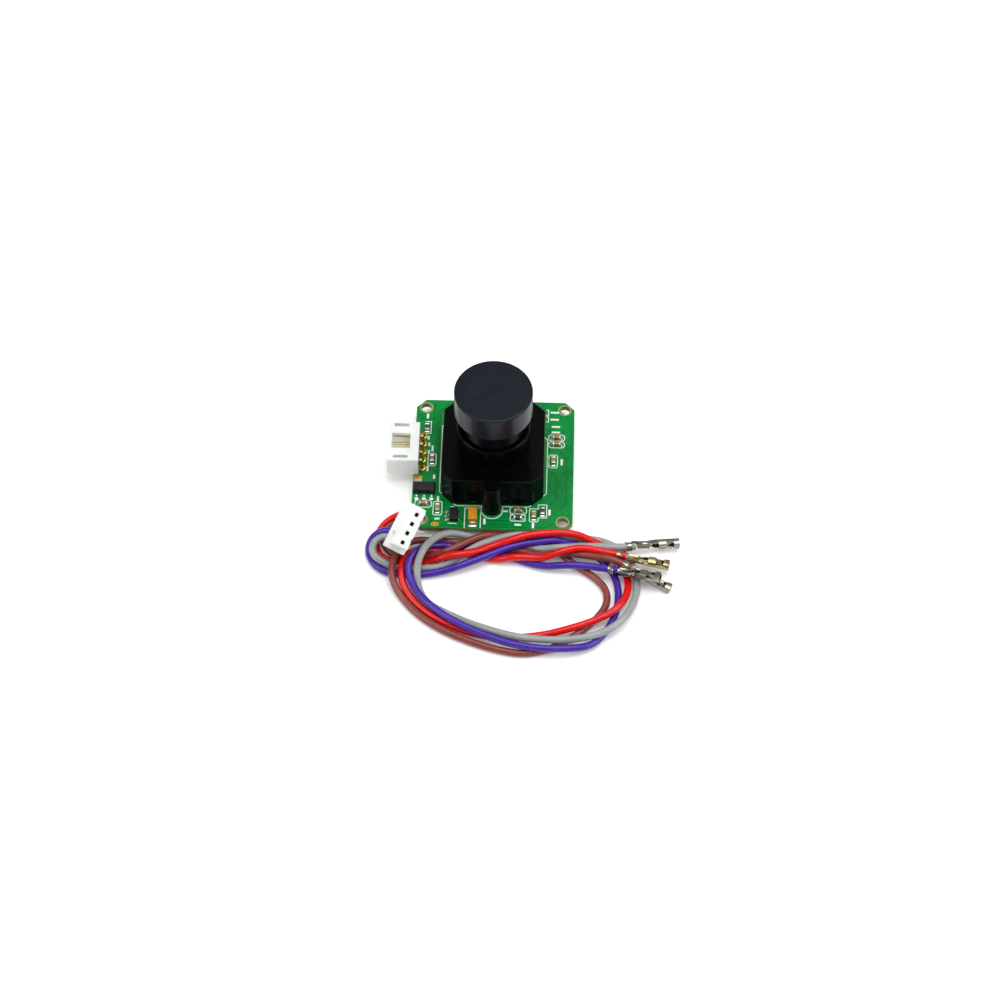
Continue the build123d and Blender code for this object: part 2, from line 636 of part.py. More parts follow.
# Gull-wing lead seen from its side, from the chip's wall down to its foot on the board's rear face
def gull_wing_points(wall_x, reach, foot, lead_z):
    knee_x = wall_x + reach - foot
    return [
        (wall_x, lead_z),
        (knee_x, lead_z),
        (knee_x, -lead_thickness),
        (wall_x + reach, -lead_thickness),
        (wall_x + reach, 0),
        (knee_x - lead_thickness, 0),
        (knee_x - lead_thickness, lead_z + lead_thickness),
        (wall_x, lead_z + lead_thickness),
    ]


# Image processor on the rear, a square chip with leads on all four sides
processor_lead_z = -(processor_standoff + processor_height) / 2
with BuildPart() as processor_body:
    with BuildSketch(Plane.XY.offset(-processor_standoff)) as processor_outline:
        Rectangle(processor_side, processor_side)
        chamfer(processor_outline.vertices(), length=0.3)
    extrude(amount=-(processor_height - processor_standoff))
    with BuildSketch(Plane.XY.offset(-processor_height)):
        with Locations((processor_side / 2 - 1.0, processor_side / 2 - 1.0)):
            Circle(0.35)
    extrude(amount=0.08, mode=Mode.SUBTRACT)
save(processor_body.part, "processor_body")

with BuildPart() as processor_leads:
    row_start = processor_lead_pitch * (processor_leads_per_side - 1) / 2 + processor_lead_width / 2
    with BuildSketch(Plane.XZ.offset(-row_start)):
        with BuildLine():
            Polyline(*gull_wing_points(processor_side / 2, processor_lead_reach, foot_length, processor_lead_z),
                     close=True)
        make_face()
    first_lead = extrude(amount=processor_lead_width, mode=Mode.PRIVATE)
    for quarter in range(4):
        for i in range(processor_leads_per_side):
            shifted = Pos(0, -processor_lead_pitch * i, 0) * first_lead
            add(Rot(0, 0, 90 * quarter) * shifted)
save(processor_leads.part, "processor_leads")

# Memory chip on the rear, with four leads on each long side
memory_lead_z = -memory_size[2] / 2
with BuildPart() as memory_body:
    with BuildSketch(Plane.XY.offset(-processor_standoff)):
        with Locations(memory_place):
            Rectangle(memory_size[0], memory_size[1])
    extrude(amount=-memory_size[2])
    chamfer(memory_body.faces().sort_by(Axis.Z)[0].edges().filter_by(Axis.Y), length=0.25)
save(memory_body.part, "memory_body")

with BuildPart() as memory_leads:
    memory_row = memory_lead_pitch * 1.5 + memory_lead_width / 2
    with BuildSketch(Plane.XZ.offset(-memory_row)):
        with BuildLine():
            Polyline(*gull_wing_points(memory_size[0] / 2, memory_lead_reach, foot_length, memory_lead_z),
                     close=True)
        make_face()
    first_memory_lead = extrude(amount=memory_lead_width, mode=Mode.PRIVATE)
    for side in range(2):
        for i in range(4):
            turned = Rot(0, 0, 180 * side) * Pos(0, -memory_lead_pitch * i, 0) * first_memory_lead
            add(Pos(memory_place[0], memory_place[1], 0) * turned)
save(memory_leads.part, "memory_leads")

# Crystal on the rear: ceramic base and metal lid
with BuildPart() as crystal_base_part:
    with BuildSketch():
        with Locations(crystal_place):
            RectangleRounded(crystal_base[0], crystal_base[1], 0.3)
    extrude(amount=-crystal_base[2])
save(crystal_base_part.part, "crystal_base")

with BuildPart() as crystal_lid_part:
    with BuildSketch(Plane.XY.offset(-crystal_base[2])):
        with Locations(crystal_place):
            RectangleRounded(crystal_lid[0], crystal_lid[1], 0.4)
    extrude(amount=-crystal_lid[2])
    fillet(crystal_lid_part.faces().sort_by(Axis.Z)[0].edges(), radius=0.15)
save(crystal_lid_part.part, "crystal_lid")

# Plug housing: a nose with four contact cells, and a thicker rear part with a finger pad
plug_plane = Plane(origin=plug_face, x_dir=plug_row, z_dir=plug_back)
cell_places = [(pitch * (i - (circuits - 1) / 2), 0) for i in range(circuits)]
with BuildPart() as plug_housing:
    with BuildSketch(plug_plane):
        Rectangle(plug_nose_length, plug_nose_thickness)
    extrude(amount=plug_nose_depth)
    nose_edges = plug_housing.edges().filter_by(GeomType.LINE).sort_by_distance(plug_face)[:4]
    chamfer(nose_edges, length=0.25)
    with BuildSketch(plug_plane.offset(plug_nose_depth)):
        RectangleRounded(plug_flange_length, plug_flange_thickness, 0.3)
    extrude(amount=plug_depth - plug_nose_depth)
    with BuildSketch(plug_plane.offset(plug_nose_depth - plug_pad_length)):
        with Locations((0, plug_flange_thickness / 2 - plug_pad_rise)):
            Rectangle(plug_pad_width, 2 * plug_pad_rise)
    extrude(amount=plug_pad_length + plug_depth - plug_nose_depth)
    with BuildSketch(plug_plane.offset(plug_mouth_wall)):
        with Locations(*cell_places):
            Rectangle(plug_cell, plug_cell)
    extrude(amount=plug_depth, mode=Mode.SUBTRACT)
    with BuildSketch(plug_plane):
        with Locations(*cell_places):
            Rectangle(plug_mouth, plug_mouth)
    extrude(amount=plug_depth, mode=Mode.SUBTRACT)
    with BuildSketch(plug_plane):
        with Locations((0, -plug_nose_thickness / 2)):
            with GridLocations(2 * pitch, 0, 2, 1):
                Rectangle(plug_notch_width, 2 * plug_notch_depth)
    extrude(amount=plug_nose_depth, mode=Mode.SUBTRACT)
save(plug_housing.part, "plug_housing")

# Crimp contacts in the plug's cells, hollow for the header's pins
contact_side = plug_cell - 2 * contact_gap
with BuildPart() as plug_contacts:
    with BuildSketch(plug_plane.offset(plug_mouth_wall)):
        with Locations(*cell_places):
            Rectangle(contact_side, contact_side)
            Rectangle(contact_bore, contact_bore, mode=Mode.SUBTRACT)
    extrude(amount=contact_length)
save(plug_contacts.part, "plug_contacts")


# Wires: straight runs joined by arcs, each as large as its two runs allow
def corner_radii(points):
    radii = []
    for before, corner, after in zip(points, points[1:], points[2:]):
        first = corner - before
        second = after - corner
        half_turn = math.radians(first.get_angle(second)) / 2
        radii.append(0.45 * min(first.length, second.length) / math.tan(half_turn))
    return radii


wire_start_depth = plug_mouth_wall + contact_length
for wire, route in wire_routes.items():
    cell = cell_places[list(wire_routes).index(wire)]
    start = plug_plane.from_local_coords(Vector(cell[0], cell[1], wire_start_depth))
    outside = plug_plane.from_local_coords(Vector(cell[0], cell[1], plug_depth + exit_run))
    points = [start, outside] + [Vector(*point) for point in route]
    radii = corner_radii(points)
    with BuildPart() as wire_part:
        with BuildLine() as wire_path:
            FilletPolyline(*points, radius=radii)
        with BuildSketch(Plane(origin=start, z_dir=outside - start)):
            Circle(wire_diameter / 2)
        sweep()
    path_length = wire_path.wires()[0].length
    share = wire_part.part.volume / (math.pi * wire_diameter**2 / 4 * path_length)
    print(f"wire_{wire}: length {path_length:.1f}, volume share {share:.4f}, radii",
          " ".join(f"{radius:.1f}" for radius in radii))
    save(wire_part.part, f"wire_{wire}")

# Sockets in line with the last run of each wire: two crimps, a neck and a box open in front
crimp_floor = -insulation_crimp_diameter / 2
for wire, route in wire_routes.items():
    wire_end = Vector(*route[-1])
    forward = wire_end - Vector(*route[-2])
    across = Vector(-forward.Y, forward.X, 0)
    end_plane = Plane(origin=wire_end, x_dir=across, z_dir=forward)
    crimp_plane = end_plane.offset(-insulation_crimp_length - insulation_bare)
    with BuildPart() as terminal:
        with BuildSketch(crimp_plane):
            Circle(insulation_crimp_diameter / 2)
            Circle(wire_diameter / 2 + crimp_gap, mode=Mode.SUBTRACT)
        extrude(amount=insulation_crimp_length)
        with BuildSketch(crimp_plane):
            with Locations((0, crimp_floor + neck_thickness / 2)):
                Rectangle(neck_width, neck_thickness)
        extrude(amount=insulation_crimp_length + insulation_bare + wire_crimp_length + neck_length + socket_wall)
        with BuildSketch(end_plane):
            with Locations((0, crimp_floor + wire_crimp_width / 2)):
                RectangleRounded(wire_crimp_width, wire_crimp_width, 0.3)
        extrude(amount=wire_crimp_length)
        with BuildSketch(end_plane.offset(wire_crimp_length + neck_length)):
            with Locations((0, crimp_floor + socket_side / 2)):
                Rectangle(socket_side, socket_side)
                Rectangle(socket_side - 2 * socket_wall, socket_side - 2 * socket_wall, mode=Mode.SUBTRACT)
        extrude(amount=socket_length)
    save(terminal.part, f"terminal_{wire}")
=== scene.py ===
import math

import bmesh
import bpy
from mathutils import Matrix, Vector


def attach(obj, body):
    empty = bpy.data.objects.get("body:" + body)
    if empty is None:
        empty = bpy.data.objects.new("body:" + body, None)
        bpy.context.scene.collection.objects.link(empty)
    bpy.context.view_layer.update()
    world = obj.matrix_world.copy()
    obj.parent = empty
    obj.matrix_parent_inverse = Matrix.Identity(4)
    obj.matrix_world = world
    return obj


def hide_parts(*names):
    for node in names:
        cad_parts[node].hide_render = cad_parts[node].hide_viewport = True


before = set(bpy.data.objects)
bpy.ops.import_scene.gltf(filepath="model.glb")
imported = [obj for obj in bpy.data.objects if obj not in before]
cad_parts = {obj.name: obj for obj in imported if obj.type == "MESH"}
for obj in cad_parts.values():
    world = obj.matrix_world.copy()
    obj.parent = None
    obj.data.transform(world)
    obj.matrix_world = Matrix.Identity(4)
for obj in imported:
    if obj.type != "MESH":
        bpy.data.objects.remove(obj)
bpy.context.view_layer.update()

# Sizes below are in millimetres, unless a comment says metres, and MM turns them into metres
MM = 0.001
BOARD_TOP = 1.2
FLOOR = -1.5
SHARP_ANGLE = math.radians(32)


# A colour's hex code as linear red, green, blue and alpha
def linear(color):
    channels = [int(color[i:i + 2], 16) / 255 for i in (0, 2, 4)]
    return [c / 12.92 if c <= 0.04045 else ((c + 0.055) / 1.055) ** 2.4 for c in channels] + [1.0]


# Camera at the photograph's place: image centre, right, up and forward are worked out from its two angles
AZIMUTH = math.radians(1.66)
ELEVATION = math.radians(53.69)
VIEW_DISTANCE = 603
AIM_RIGHT = 1.265
AIM_UP = -7.183
FOCAL_LENGTH = 108.4
SENSOR_WIDTH = 36
right = Vector((math.cos(AZIMUTH), math.sin(AZIMUTH), 0))
level = Vector((-math.sin(AZIMUTH), math.cos(AZIMUTH), 0))
up = level * math.sin(ELEVATION) + Vector((0, 0, math.cos(ELEVATION)))
forward = level * math.cos(ELEVATION) - Vector((0, 0, math.sin(ELEVATION)))
camera_data = bpy.data.cameras.new("camera")
camera_data.sensor_width = SENSOR_WIDTH
camera_data.lens = FOCAL_LENGTH
camera_data.clip_start = 0.02
camera = bpy.data.objects.new("camera", camera_data)
turn = Matrix((right, up, -forward)).transposed().to_4x4()
camera_place = Vector((0, 0, BOARD_TOP)) + AIM_RIGHT * right + AIM_UP * up - VIEW_DISTANCE * forward
camera.matrix_world = Matrix.Translation(camera_place * MM) @ turn
bpy.context.scene.collection.objects.link(camera)
bpy.context.scene.camera = camera
bpy.context.scene.view_settings.view_transform = "Standard"


# Node helpers
def node(tree, kind, inputs=None, **settings):
    made = tree.nodes.new("ShaderNode" + kind)
    for key, value in settings.items():
        setattr(made, key, value)
    for key, value in (inputs or {}).items():
        if isinstance(value, bpy.types.NodeSocket):
            tree.links.new(value, made.inputs[key])
        else:
            made.inputs[key].default_value = value
    return made


def noise(tree, place, size, detail=2.0):
    return node(tree, "TexNoise", {"Vector": place, "Scale": 1 / (size * MM), "Detail": detail}).outputs[0]


# The texture repeats every 0.314 units at a scale of one
WAVE_REPEAT = 0.314


def wave(tree, place, period, distortion, **settings):
    inputs = {"Vector": place, "Scale": WAVE_REPEAT / (period * MM), "Distortion": distortion}
    return node(tree, "TexWave", inputs, **settings).outputs[1]


def spread(tree, value, low, high, start=0.3, end=0.7):
    made = node(tree, "MapRange", {"Value": value, "From Min": start, "From Max": end,
                                   "To Min": low, "To Max": high})
    return made.outputs[0]


def mixed(tree, factor, first, second):
    made = node(tree, "Mix", {0: factor, 6: first, 7: second}, data_type="RGBA")
    return made.outputs[2]


def maths(tree, operation, first, second=0.0):
    return node(tree, "Math", {0: first, 1: second}, operation=operation).outputs[0]


# A colour that drifts from the first to the second over patches of one size
def drift(tree, place, size, detail, first, second):
    patches = spread(tree, noise(tree, place, size, detail), 0.0, 1.0)
    return mixed(tree, patches, linear(first), linear(second))


# One on faces that look up or down and nothing on those that stand
def level_faces(tree, limit):
    normal = node(tree, "SeparateXYZ", {0: tree.nodes["Texture Coordinate"].outputs["Normal"]}).outputs[2]
    return maths(tree, "GREATER_THAN", maths(tree, "ABSOLUTE", normal), limit)


def uneven_gloss(tree, shader, place, size, low, high, detail=2.0):
    tree.links.new(spread(tree, noise(tree, place, size, detail), low, high), shader.inputs["Roughness"])


def relief(tree, shader, height, depth):
    bump = node(tree, "Bump", {"Strength": 1.0, "Distance": depth * MM, "Height": height})
    tree.links.new(bump.outputs[0], shader.inputs["Normal"])


def new_material(name):
    material = bpy.data.materials.new(name)
    material.use_nodes = True
    tree = material.node_tree
    tree.nodes.clear()
    shader = node(tree, "BsdfPrincipled")
    node(tree, "OutputMaterial", {"Surface": shader.outputs[0]})
    coordinates = node(tree, "TexCoord")
    return material, tree, shader, coordinates.outputs["Object"]


# A finish: colour that drifts to a second one over patches, uneven gloss and a fine grain in relief
GLOSS_PATCH_SHARE = 0.4


def surface(name, color, second, roughness, patch, grain, depth, gloss_spread=0.05, **sockets):
    material, tree, shader, place = new_material(name)
    tree.links.new(drift(tree, place, patch, 3.0, color, second), shader.inputs["Base Color"])
    uneven_gloss(tree, shader, place, patch * GLOSS_PATCH_SHARE, roughness - gloss_spread,
                 roughness + gloss_spread)
    relief(tree, shader, noise(tree, place, grain), depth)
    for key, value in sockets.items():
        shader.inputs[key.replace("_", " ")].default_value = value
    return material


# Mesh helpers: shapes are made in millimetres
SAME_SPOT = 1e-4


def make_piece(name, shape, material, slot, body="board", replaced=()):
    bmesh.ops.remove_doubles(shape, verts=shape.verts, dist=SAME_SPOT)
    bmesh.ops.recalc_face_normals(shape, faces=shape.faces)
    for face in shape.faces:
        face.smooth = True
    for edge in shape.edges:
        if len(edge.link_faces) == 2 and edge.calc_face_angle() > SHARP_ANGLE:
            edge.smooth = False
    bmesh.ops.scale(shape, vec=(MM, MM, MM), verts=shape.verts)
    data = bpy.data.meshes.new(name)
    shape.to_mesh(data)
    shape.free()
    data.materials.append(material)
    obj = bpy.data.objects.new(name, data)
    bpy.context.scene.collection.objects.link(obj)
    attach(obj, body)
    if replaced:
        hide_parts(*replaced)
    return obj


# A copy of a node's mesh with its sharp edges rounded, in the node's place
WELD_DISTANCE = 0.002
FLAT_ANGLE = math.radians(1)
BEVEL_STEPS = 2


def softened(name, source, width, material, slot):
    shape = bmesh.new()
    shape.from_mesh(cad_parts[source].data)
    bmesh.ops.scale(shape, vec=(1 / MM, 1 / MM, 1 / MM), verts=shape.verts)
    bmesh.ops.remove_doubles(shape, verts=shape.verts, dist=WELD_DISTANCE)
    bmesh.ops.dissolve_limit(shape, angle_limit=FLAT_ANGLE, verts=shape.verts, edges=shape.edges)
    sharp = [e for e in shape.edges if len(e.link_faces) == 2 and e.calc_face_angle() > SHARP_ANGLE]
    bmesh.ops.bevel(shape, geom=sharp, offset=width, segments=BEVEL_STEPS, profile=0.5, affect="EDGES",
                    clamp_overlap=True)
    made = make_piece(name, shape, material, slot, replaced=[source])
    made.modifiers.new("even_shading", "WEIGHTED_NORMAL").keep_sharp = True


# A skin over sections with equal numbers of corners: closed joins the last to the first, open gets two ends
def add_loft(shape, sections, closed=False):
    rows = [[shape.verts.new(corner) for corner in section] for section in sections]
    followers = rows[1:] + rows[:1] if closed else rows[1:]
    for first, second in zip(rows, followers):
        for i in range(len(first)):
            j = (i + 1) % len(first)
            shape.faces.new((first[i], first[j], second[j], second[i]))
    if not closed:
        shape.faces.new(rows[0][::-1])
        shape.faces.new(rows[-1])


def add_prism(shape, outline, low, high):
    add_loft(shape, [[(x, y, z) for x, y in outline] for z in (low, high)])


# Both sides of a strip along a path, as pairs of points
MITRE_LIMIT = 2.0


def offsets(path, width, closed=False):
    sides = []
    for i, spot in enumerate(path):
        here = Vector(spot)
        ways = []
        if closed or i > 0:
            ways.append((here - Vector(path[i - 1])).normalized())
        if closed or i < len(path) - 1:
            ways.append((Vector(path[(i + 1) % len(path)]) - here).normalized())
        along = (ways[0] + ways[-1]).normalized()
        side = Vector((-along.y, along.x))
        stretch = 1 / max(1 / MITRE_LIMIT, along.dot(ways[0]))
        sides.append((here + side * width / 2 * stretch, here - side * width / 2 * stretch))
    return sides


def add_ribbon(shape, path, width, low, high, closed=False):
    sections = []
    for left, right_side in offsets(path, width, closed):
        corners = ((left, high), (right_side, high), (right_side, low), (left, low))
        sections.append([(spot.x, spot.y, z) for spot, z in corners])
    add_loft(shape, sections, closed)


def arc(x, y, radius, start, end, steps):
    angles = [math.radians(start + (end - start) * i / steps) for i in range(steps + 1)]
    return [(x + radius * math.cos(a), y + radius * math.sin(a)) for a in angles]


def circle(x, y, radius, sides):
    return arc(x, y, radius, 0, 360, sides)[:-1]


def rounded_box(x, y, width, height, radius, steps=4):
    half_width, half_height = width / 2 - radius, height / 2 - radius
    path = []
    for quarter, (sx, sy) in enumerate(((1, 1), (-1, 1), (-1, -1), (1, -1))):
        path += arc(x + sx * half_width, y + sy * half_height, radius, 90 * quarter, 90 * quarter + 90, steps)
    return path


# A ring-shaped body turned about an upright axis, from its section's radii and heights
def add_turned(shape, profile, x, y, sides):
    add_loft(shape, [[(px, py, z) for px, py in circle(x, y, radius, sides)] for radius, z in profile],
             closed=True)


def add_ring(shape, x, y, inner, outer, low, high, sides):
    add_turned(shape, [(inner, low), (outer, low), (outer, high), (inner, high)], x, y, sides)


# Wires: red, brown, purple and gray, the same route points as the solids have
WIRE_DIAMETER = 1.46
WIRE_LIFT = Vector((0, 0, 0.06))
BARE_END = 0.4
WIRES = {
    "red": [
        (-16.8, -15.0, 4.3), (-18.8, -14.4, 2.6), (-20.8, -14.7, 0.8), (-22.3, -16.2, -0.5),
        (-22.8, -19.1, -0.8), (-21.9, -21.7, -0.8), (-19.5, -23.1, -0.8), (-15.7, -23.2, -0.8),
        (-12.0, -23.1, -0.7), (-8.6, -23.0, 1.5), (-5.5, -22.8, 1.9), (-2.8, -21.6, 1.3),
        (-0.7, -20.4, 0.8), (1.4, -19.5, 0.9), (3.8, -18.9, 1.6), (7.7, -17.7, 2.0),
        (13.6, -17.0, 2.0), (16.9, -17.3, 1.8), (19.3, -17.6, 0.6), (21.3, -18.0, -0.4),
        (23.3, -19.2, -0.8), (25.3, -21.6, -0.8), (26.8, -24.6, -0.8), (27.2, -28.2, -0.5),
        (26.3, -32.1, 0.6), (23.8, -35.0, 0.6), (19.9, -37.2, 0.6), (15.5, -38.7, 0.2),
        (10.7, -39.6, -0.8), (5.1, -40.4, -0.8), (-0.3, -40.2, -0.8), (-5.3, -38.8, -0.8),
        (-10.3, -36.2, -0.8), (-14.4, -32.7, -0.8), (-16.8, -29.2, -0.2), (-17.4, -26.4, 0.8),
        (-16.9, -23.2, 0.8), (-15.2, -21.2, 0.5), (-13.1, -20.4, -0.2), (-10.3, -20.5, -0.8),
        (-5.6, -20.7, -0.8), (-1.8, -21.5, -0.8), (1.7, -22.2, -0.6), (4.1, -22.3, 0.6),
        (6.8, -22.2, 0.6), (10.0, -22.5, 0.6), (12.3, -22.0, 1.5), (15.0, -21.2, 2.0),
        (18.3, -20.4, 1.8), (22.8, -20.9, 1.0), (27.0, -21.8, 1.0),
    ],
    "brown": [
        (-17.9, -16.6, 3.2), (-19.8, -16.1, 1.6), (-21.0, -16.6, 0.0), (-21.3, -18.6, -0.8),
        (-19.8, -21.0, -0.8), (-17.2, -21.9, -0.8), (-14.0, -21.8, -0.8), (-11.1, -21.7, -0.2),
        (-7.9, -21.1, 0.8), (-4.5, -18.7, 0.6), (-1.0, -17.1, 0.7), (1.8, -16.8, -0.2),
        (4.5, -16.2, -0.8), (7.3, -16.1, -0.8), (10.6, -17.3, -0.8), (14.3, -20.7, -0.8),
        (17.4, -23.5, -0.8), (20.6, -25.7, -0.8), (22.8, -28.4, -0.8), (23.1, -31.6, -0.8),
        (21.7, -34.6, -0.8), (19.0, -37.6, -0.8), (15.7, -40.5, -0.8), (11.9, -42.9, -0.8),
        (7.2, -44.1, -0.8), (2.1, -43.3, -0.8), (-3.3, -41.5, -0.8), (-8.8, -39.0, -0.8),
        (-13.7, -35.5, -0.8), (-17.1, -31.4, -0.8), (-18.8, -28.5, 0.1), (-19.3, -26.1, 1.1),
        (-18.7, -23.0, 1.0), (-17.2, -20.1, 0.8), (-14.8, -18.3, 0.1), (-11.6, -17.8, -0.8),
        (-7.1, -17.9, -0.8), (-2.5, -18.6, -0.8), (2.4, -19.6, -0.8), (6.6, -19.8, -0.8),
        (9.9, -21.3, -0.1), (13.3, -21.0, 0.6), (16.8, -21.2, 0.6), (20.1, -21.9, 0.9),
        (24.1, -22.9, 1.8), (28.0, -24.7, 1.0),
    ],
    "purple": [
        (-19.2, -17.9, 2.6), (-21.5, -17.3, 1.5), (-23.5, -18.3, 0.4), (-24.2, -20.6, -0.8),
        (-23.0, -23.7, -0.8), (-20.3, -25.8, -0.8), (-16.8, -26.2, -0.8), (-12.9, -26.0, -0.8),
        (-9.0, -25.4, -0.3), (-5.1, -24.3, 0.6), (-1.0, -22.3, 0.6), (3.2, -20.1, 0.6),
        (6.5, -19.0, 0.6), (9.7, -18.4, 0.6), (12.6, -18.0, 0.8), (15.2, -17.9, -0.3),
        (17.2, -18.4, -0.8), (19.8, -19.8, -0.8), (22.3, -21.9, -0.8), (24.2, -24.7, -0.8),
        (25.2, -28.0, -0.8), (25.2, -31.6, -0.8), (24.5, -35.1, -0.8), (22.9, -38.4, -0.8),
        (20.2, -42.0, -0.4), (15.8, -43.5, 0.6), (10.6, -43.6, 0.6), (5.2, -42.9, 0.6),
        (-0.2, -41.0, 0.6), (-5.5, -38.4, 0.6), (-10.3, -35.1, 0.6), (-14.0, -31.2, 0.5),
        (-15.9, -27.3, 0.8), (-15.9, -24.5, 2.0), (-14.5, -22.3, 2.1), (-12.3, -20.2, 1.1),
        (-9.6, -19.1, -0.4), (-5.9, -19.3, -0.8), (-1.9, -20.0, -0.8), (1.5, -20.7, -0.8),
        (4.2, -21.3, -0.8), (7.0, -22.6, -0.8), (10.8, -23.7, -0.3), (13.3, -23.9, 0.4),
        (16.4, -23.8, 0.6), (21.0, -24.3, 0.8), (25.4, -25.5, 1.5),
    ],
    "gray": [
        (-19.6, -19.1, 2.0), (-21.5, -18.9, 1.8), (-23.1, -20.3, 1.4), (-23.1, -22.6, 0.9),
        (-21.0, -24.0, 0.1), (-17.6, -24.8, -0.6), (-13.5, -24.5, -0.8), (-9.8, -24.3, -0.6),
        (-6.3, -22.7, 0.4), (-2.9, -19.8, 0.6), (0.6, -18.2, 0.6), (4.3, -16.9, 0.6),
        (7.9, -16.8, 0.6), (11.0, -16.7, 0.6), (13.6, -16.7, -0.4), (16.6, -16.5, -0.8),
        (19.5, -16.5, -0.8), (22.5, -17.1, -0.8), (25.4, -18.8, -0.8), (27.6, -21.6, -0.8),
        (28.8, -25.3, -0.8), (28.8, -29.9, -0.3), (27.2, -34.9, 0.6), (24.6, -38.1, 0.6),
        (20.9, -40.3, 0.7), (16.1, -41.4, 0.6), (10.9, -41.6, 0.6), (5.7, -41.1, 0.6),
        (1.3, -39.8, 0.5), (-3.9, -37.1, -0.8), (-8.2, -35.0, -0.8), (-11.9, -32.9, -0.8),
        (-13.8, -29.6, -0.8), (-14.2, -27.1, 0.7), (-14.1, -25.2, 2.0), (-13.3, -22.9, 2.9),
        (-11.9, -20.4, 2.6), (-10.0, -18.2, 1.7), (-8.1, -17.0, 0.9), (-5.9, -16.7, 0.0),
        (-3.4, -16.8, -0.8), (1.8, -18.3, -0.8), (5.7, -18.3, -0.8), (8.1, -18.9, -0.8),
        (10.3, -19.7, -0.1), (12.6, -19.8, 0.6), (15.8, -19.5, 0.6), (20.1, -19.2, 0.6),
        (24.5, -19.5, 0.8), (28.9, -19.0, 0.7),
    ],
}

# Plug: its cells stand in a row across its face, and depth runs back from the face along each cell
PLUG_FACE = Vector((-15.54, -22.73, 10.0))
PLUG_BACK = Vector((-0.229, 0.584, -0.779)).normalized()
PLUG_ROW = Vector((-0.428, -0.779, -0.458)).normalized()
PITCH = 2.0
MIDDLE_CELL = (len(WIRES) - 1) / 2
WIRE_START_DEPTH = 5.6
WIRE_OUTSIDE_DEPTH = 7.9


def plug_point(cell, depth):
    return PLUG_FACE + PLUG_ROW * PITCH * (cell - MIDDLE_CELL) + PLUG_BACK * depth


def wire_material(name, color, second, scuffed):
    material, tree, shader, place = new_material(name)
    tone = drift(tree, place, 4.0, 3.0, color, second)
    scuffs = spread(tree, noise(tree, place, 0.5, 4.0), 0.0, 0.5, 0.62, 0.8)
    tree.links.new(mixed(tree, scuffs, tone, linear(scuffed)), shader.inputs["Base Color"])
    uneven_gloss(tree, shader, place, 0.9, 0.18, 0.3)
    shader.inputs["Specular IOR Level"].default_value = 0.4
    relief(tree, shader, noise(tree, place, 0.35, 3.0), 0.008)
    return material


wire_finishes = {
    "red": wire_material("wire_red", "d80606", "c60404", "e21c14"),
    "brown": wire_material("wire_brown", "863d33", "74322a", "96504a"),
    "purple": wire_material("wire_purple", "43219a", "381a86", "5636aa"),
    "gray": wire_material("wire_gray", "969b99", "898f8e", "a8adac"),
}


def cord_curve(name, points, material):
    data = bpy.data.curves.new(name, "CURVE")
    data.dimensions = "3D"
    data.bevel_depth = WIRE_DIAMETER / 2 * MM
    data.bevel_resolution = 5
    data.resolution_u = 8
    data.use_fill_caps = True
    spline = data.splines.new("NURBS")
    spline.points.add(len(points) - 1)
    for point, spot in zip(spline.points, points):
        point.co = (*(Vector(spot) * MM), 1.0)
    spline.order_u = 3
    spline.use_endpoint_u = True
    data.materials.append(material)
    obj = bpy.data.objects.new(name, data)
    bpy.context.scene.collection.objects.link(obj)
    return obj


cords = {}
for cell, (color, route) in enumerate(WIRES.items()):
    end_run = (Vector(route[-1]) - Vector(route[-2])).normalized()
    points = [plug_point(cell, WIRE_START_DEPTH), plug_point(cell, WIRE_OUTSIDE_DEPTH)]
    points += [Vector(spot) + WIRE_LIFT for spot in route[:-2]]
    points += [Vector(route[-2]), Vector(route[-1]) - end_run * BARE_END]
    cord = cord_curve(f"lead_{color}", points, wire_finishes[color])
    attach(cord, "board")
    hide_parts(f"wire_{color}")
    cords[color] = cord

# Board: solder mask over the copper's patches, the weave in low relief, and bare fibres at the cut edges
WEAVE_PERIOD = 0.5


def mask_material():
    material, tree, shader, place = new_material("solder_mask")
    pour = drift(tree, place, 5.0, 3.0, "008838", "006a2b")
    fine = mixed(tree, spread(tree, noise(tree, place, 0.5, 2.0), 0.0, 0.35), pour, linear("029443"))
    flat = level_faces(tree, 0.5)
    fibres = drift(tree, place, 0.12, 2.0, "5f7d4a", "8d8a55")
    tree.links.new(mixed(tree, flat, fibres, fine), shader.inputs["Base Color"])
    uneven_gloss(tree, shader, place, 1.5, 0.2, 0.32)
    shader.inputs["Specular IOR Level"].default_value = 0.14
    weave_x = wave(tree, place, WEAVE_PERIOD, 1.0, bands_direction="X")
    weave_y = wave(tree, place, WEAVE_PERIOD, 1.0, bands_direction="Y")
    relief(tree, shader, maths(tree, "ADD", weave_x, weave_y), 0.0015)
    return material


def metal(name, color, second, roughness, grain=0.25, depth=0.004):
    return surface(name, color, second, roughness, patch=0.8, grain=grain, depth=depth, gloss_spread=0.08,
                   Metallic=1.0)


def plastic(name, color, second, roughness, level=0.5, patch=2.0, grain=0.12, depth=0.002):
    return surface(name, color, second, roughness, patch=patch, grain=grain, depth=depth,
                   Specular_IOR_Level=level)


# Moulded plastic that lets some light in
def nylon(name, color, second):
    material = plastic(name, color, second, 0.38, patch=3.0)
    shader = material.node_tree.nodes["Principled BSDF"]
    shader.inputs["Subsurface Weight"].default_value = 0.35
    shader.inputs["Subsurface Radius"].default_value = (1.0, 1.0, 0.9)
    shader.inputs["Subsurface Scale"].default_value = 0.6 * MM
    return material


# Turned plastic: faint rings about the lens axis and a few specks of dust
TURNED_RING_PERIOD = 0.22
SPECK_SPACING = 1.3


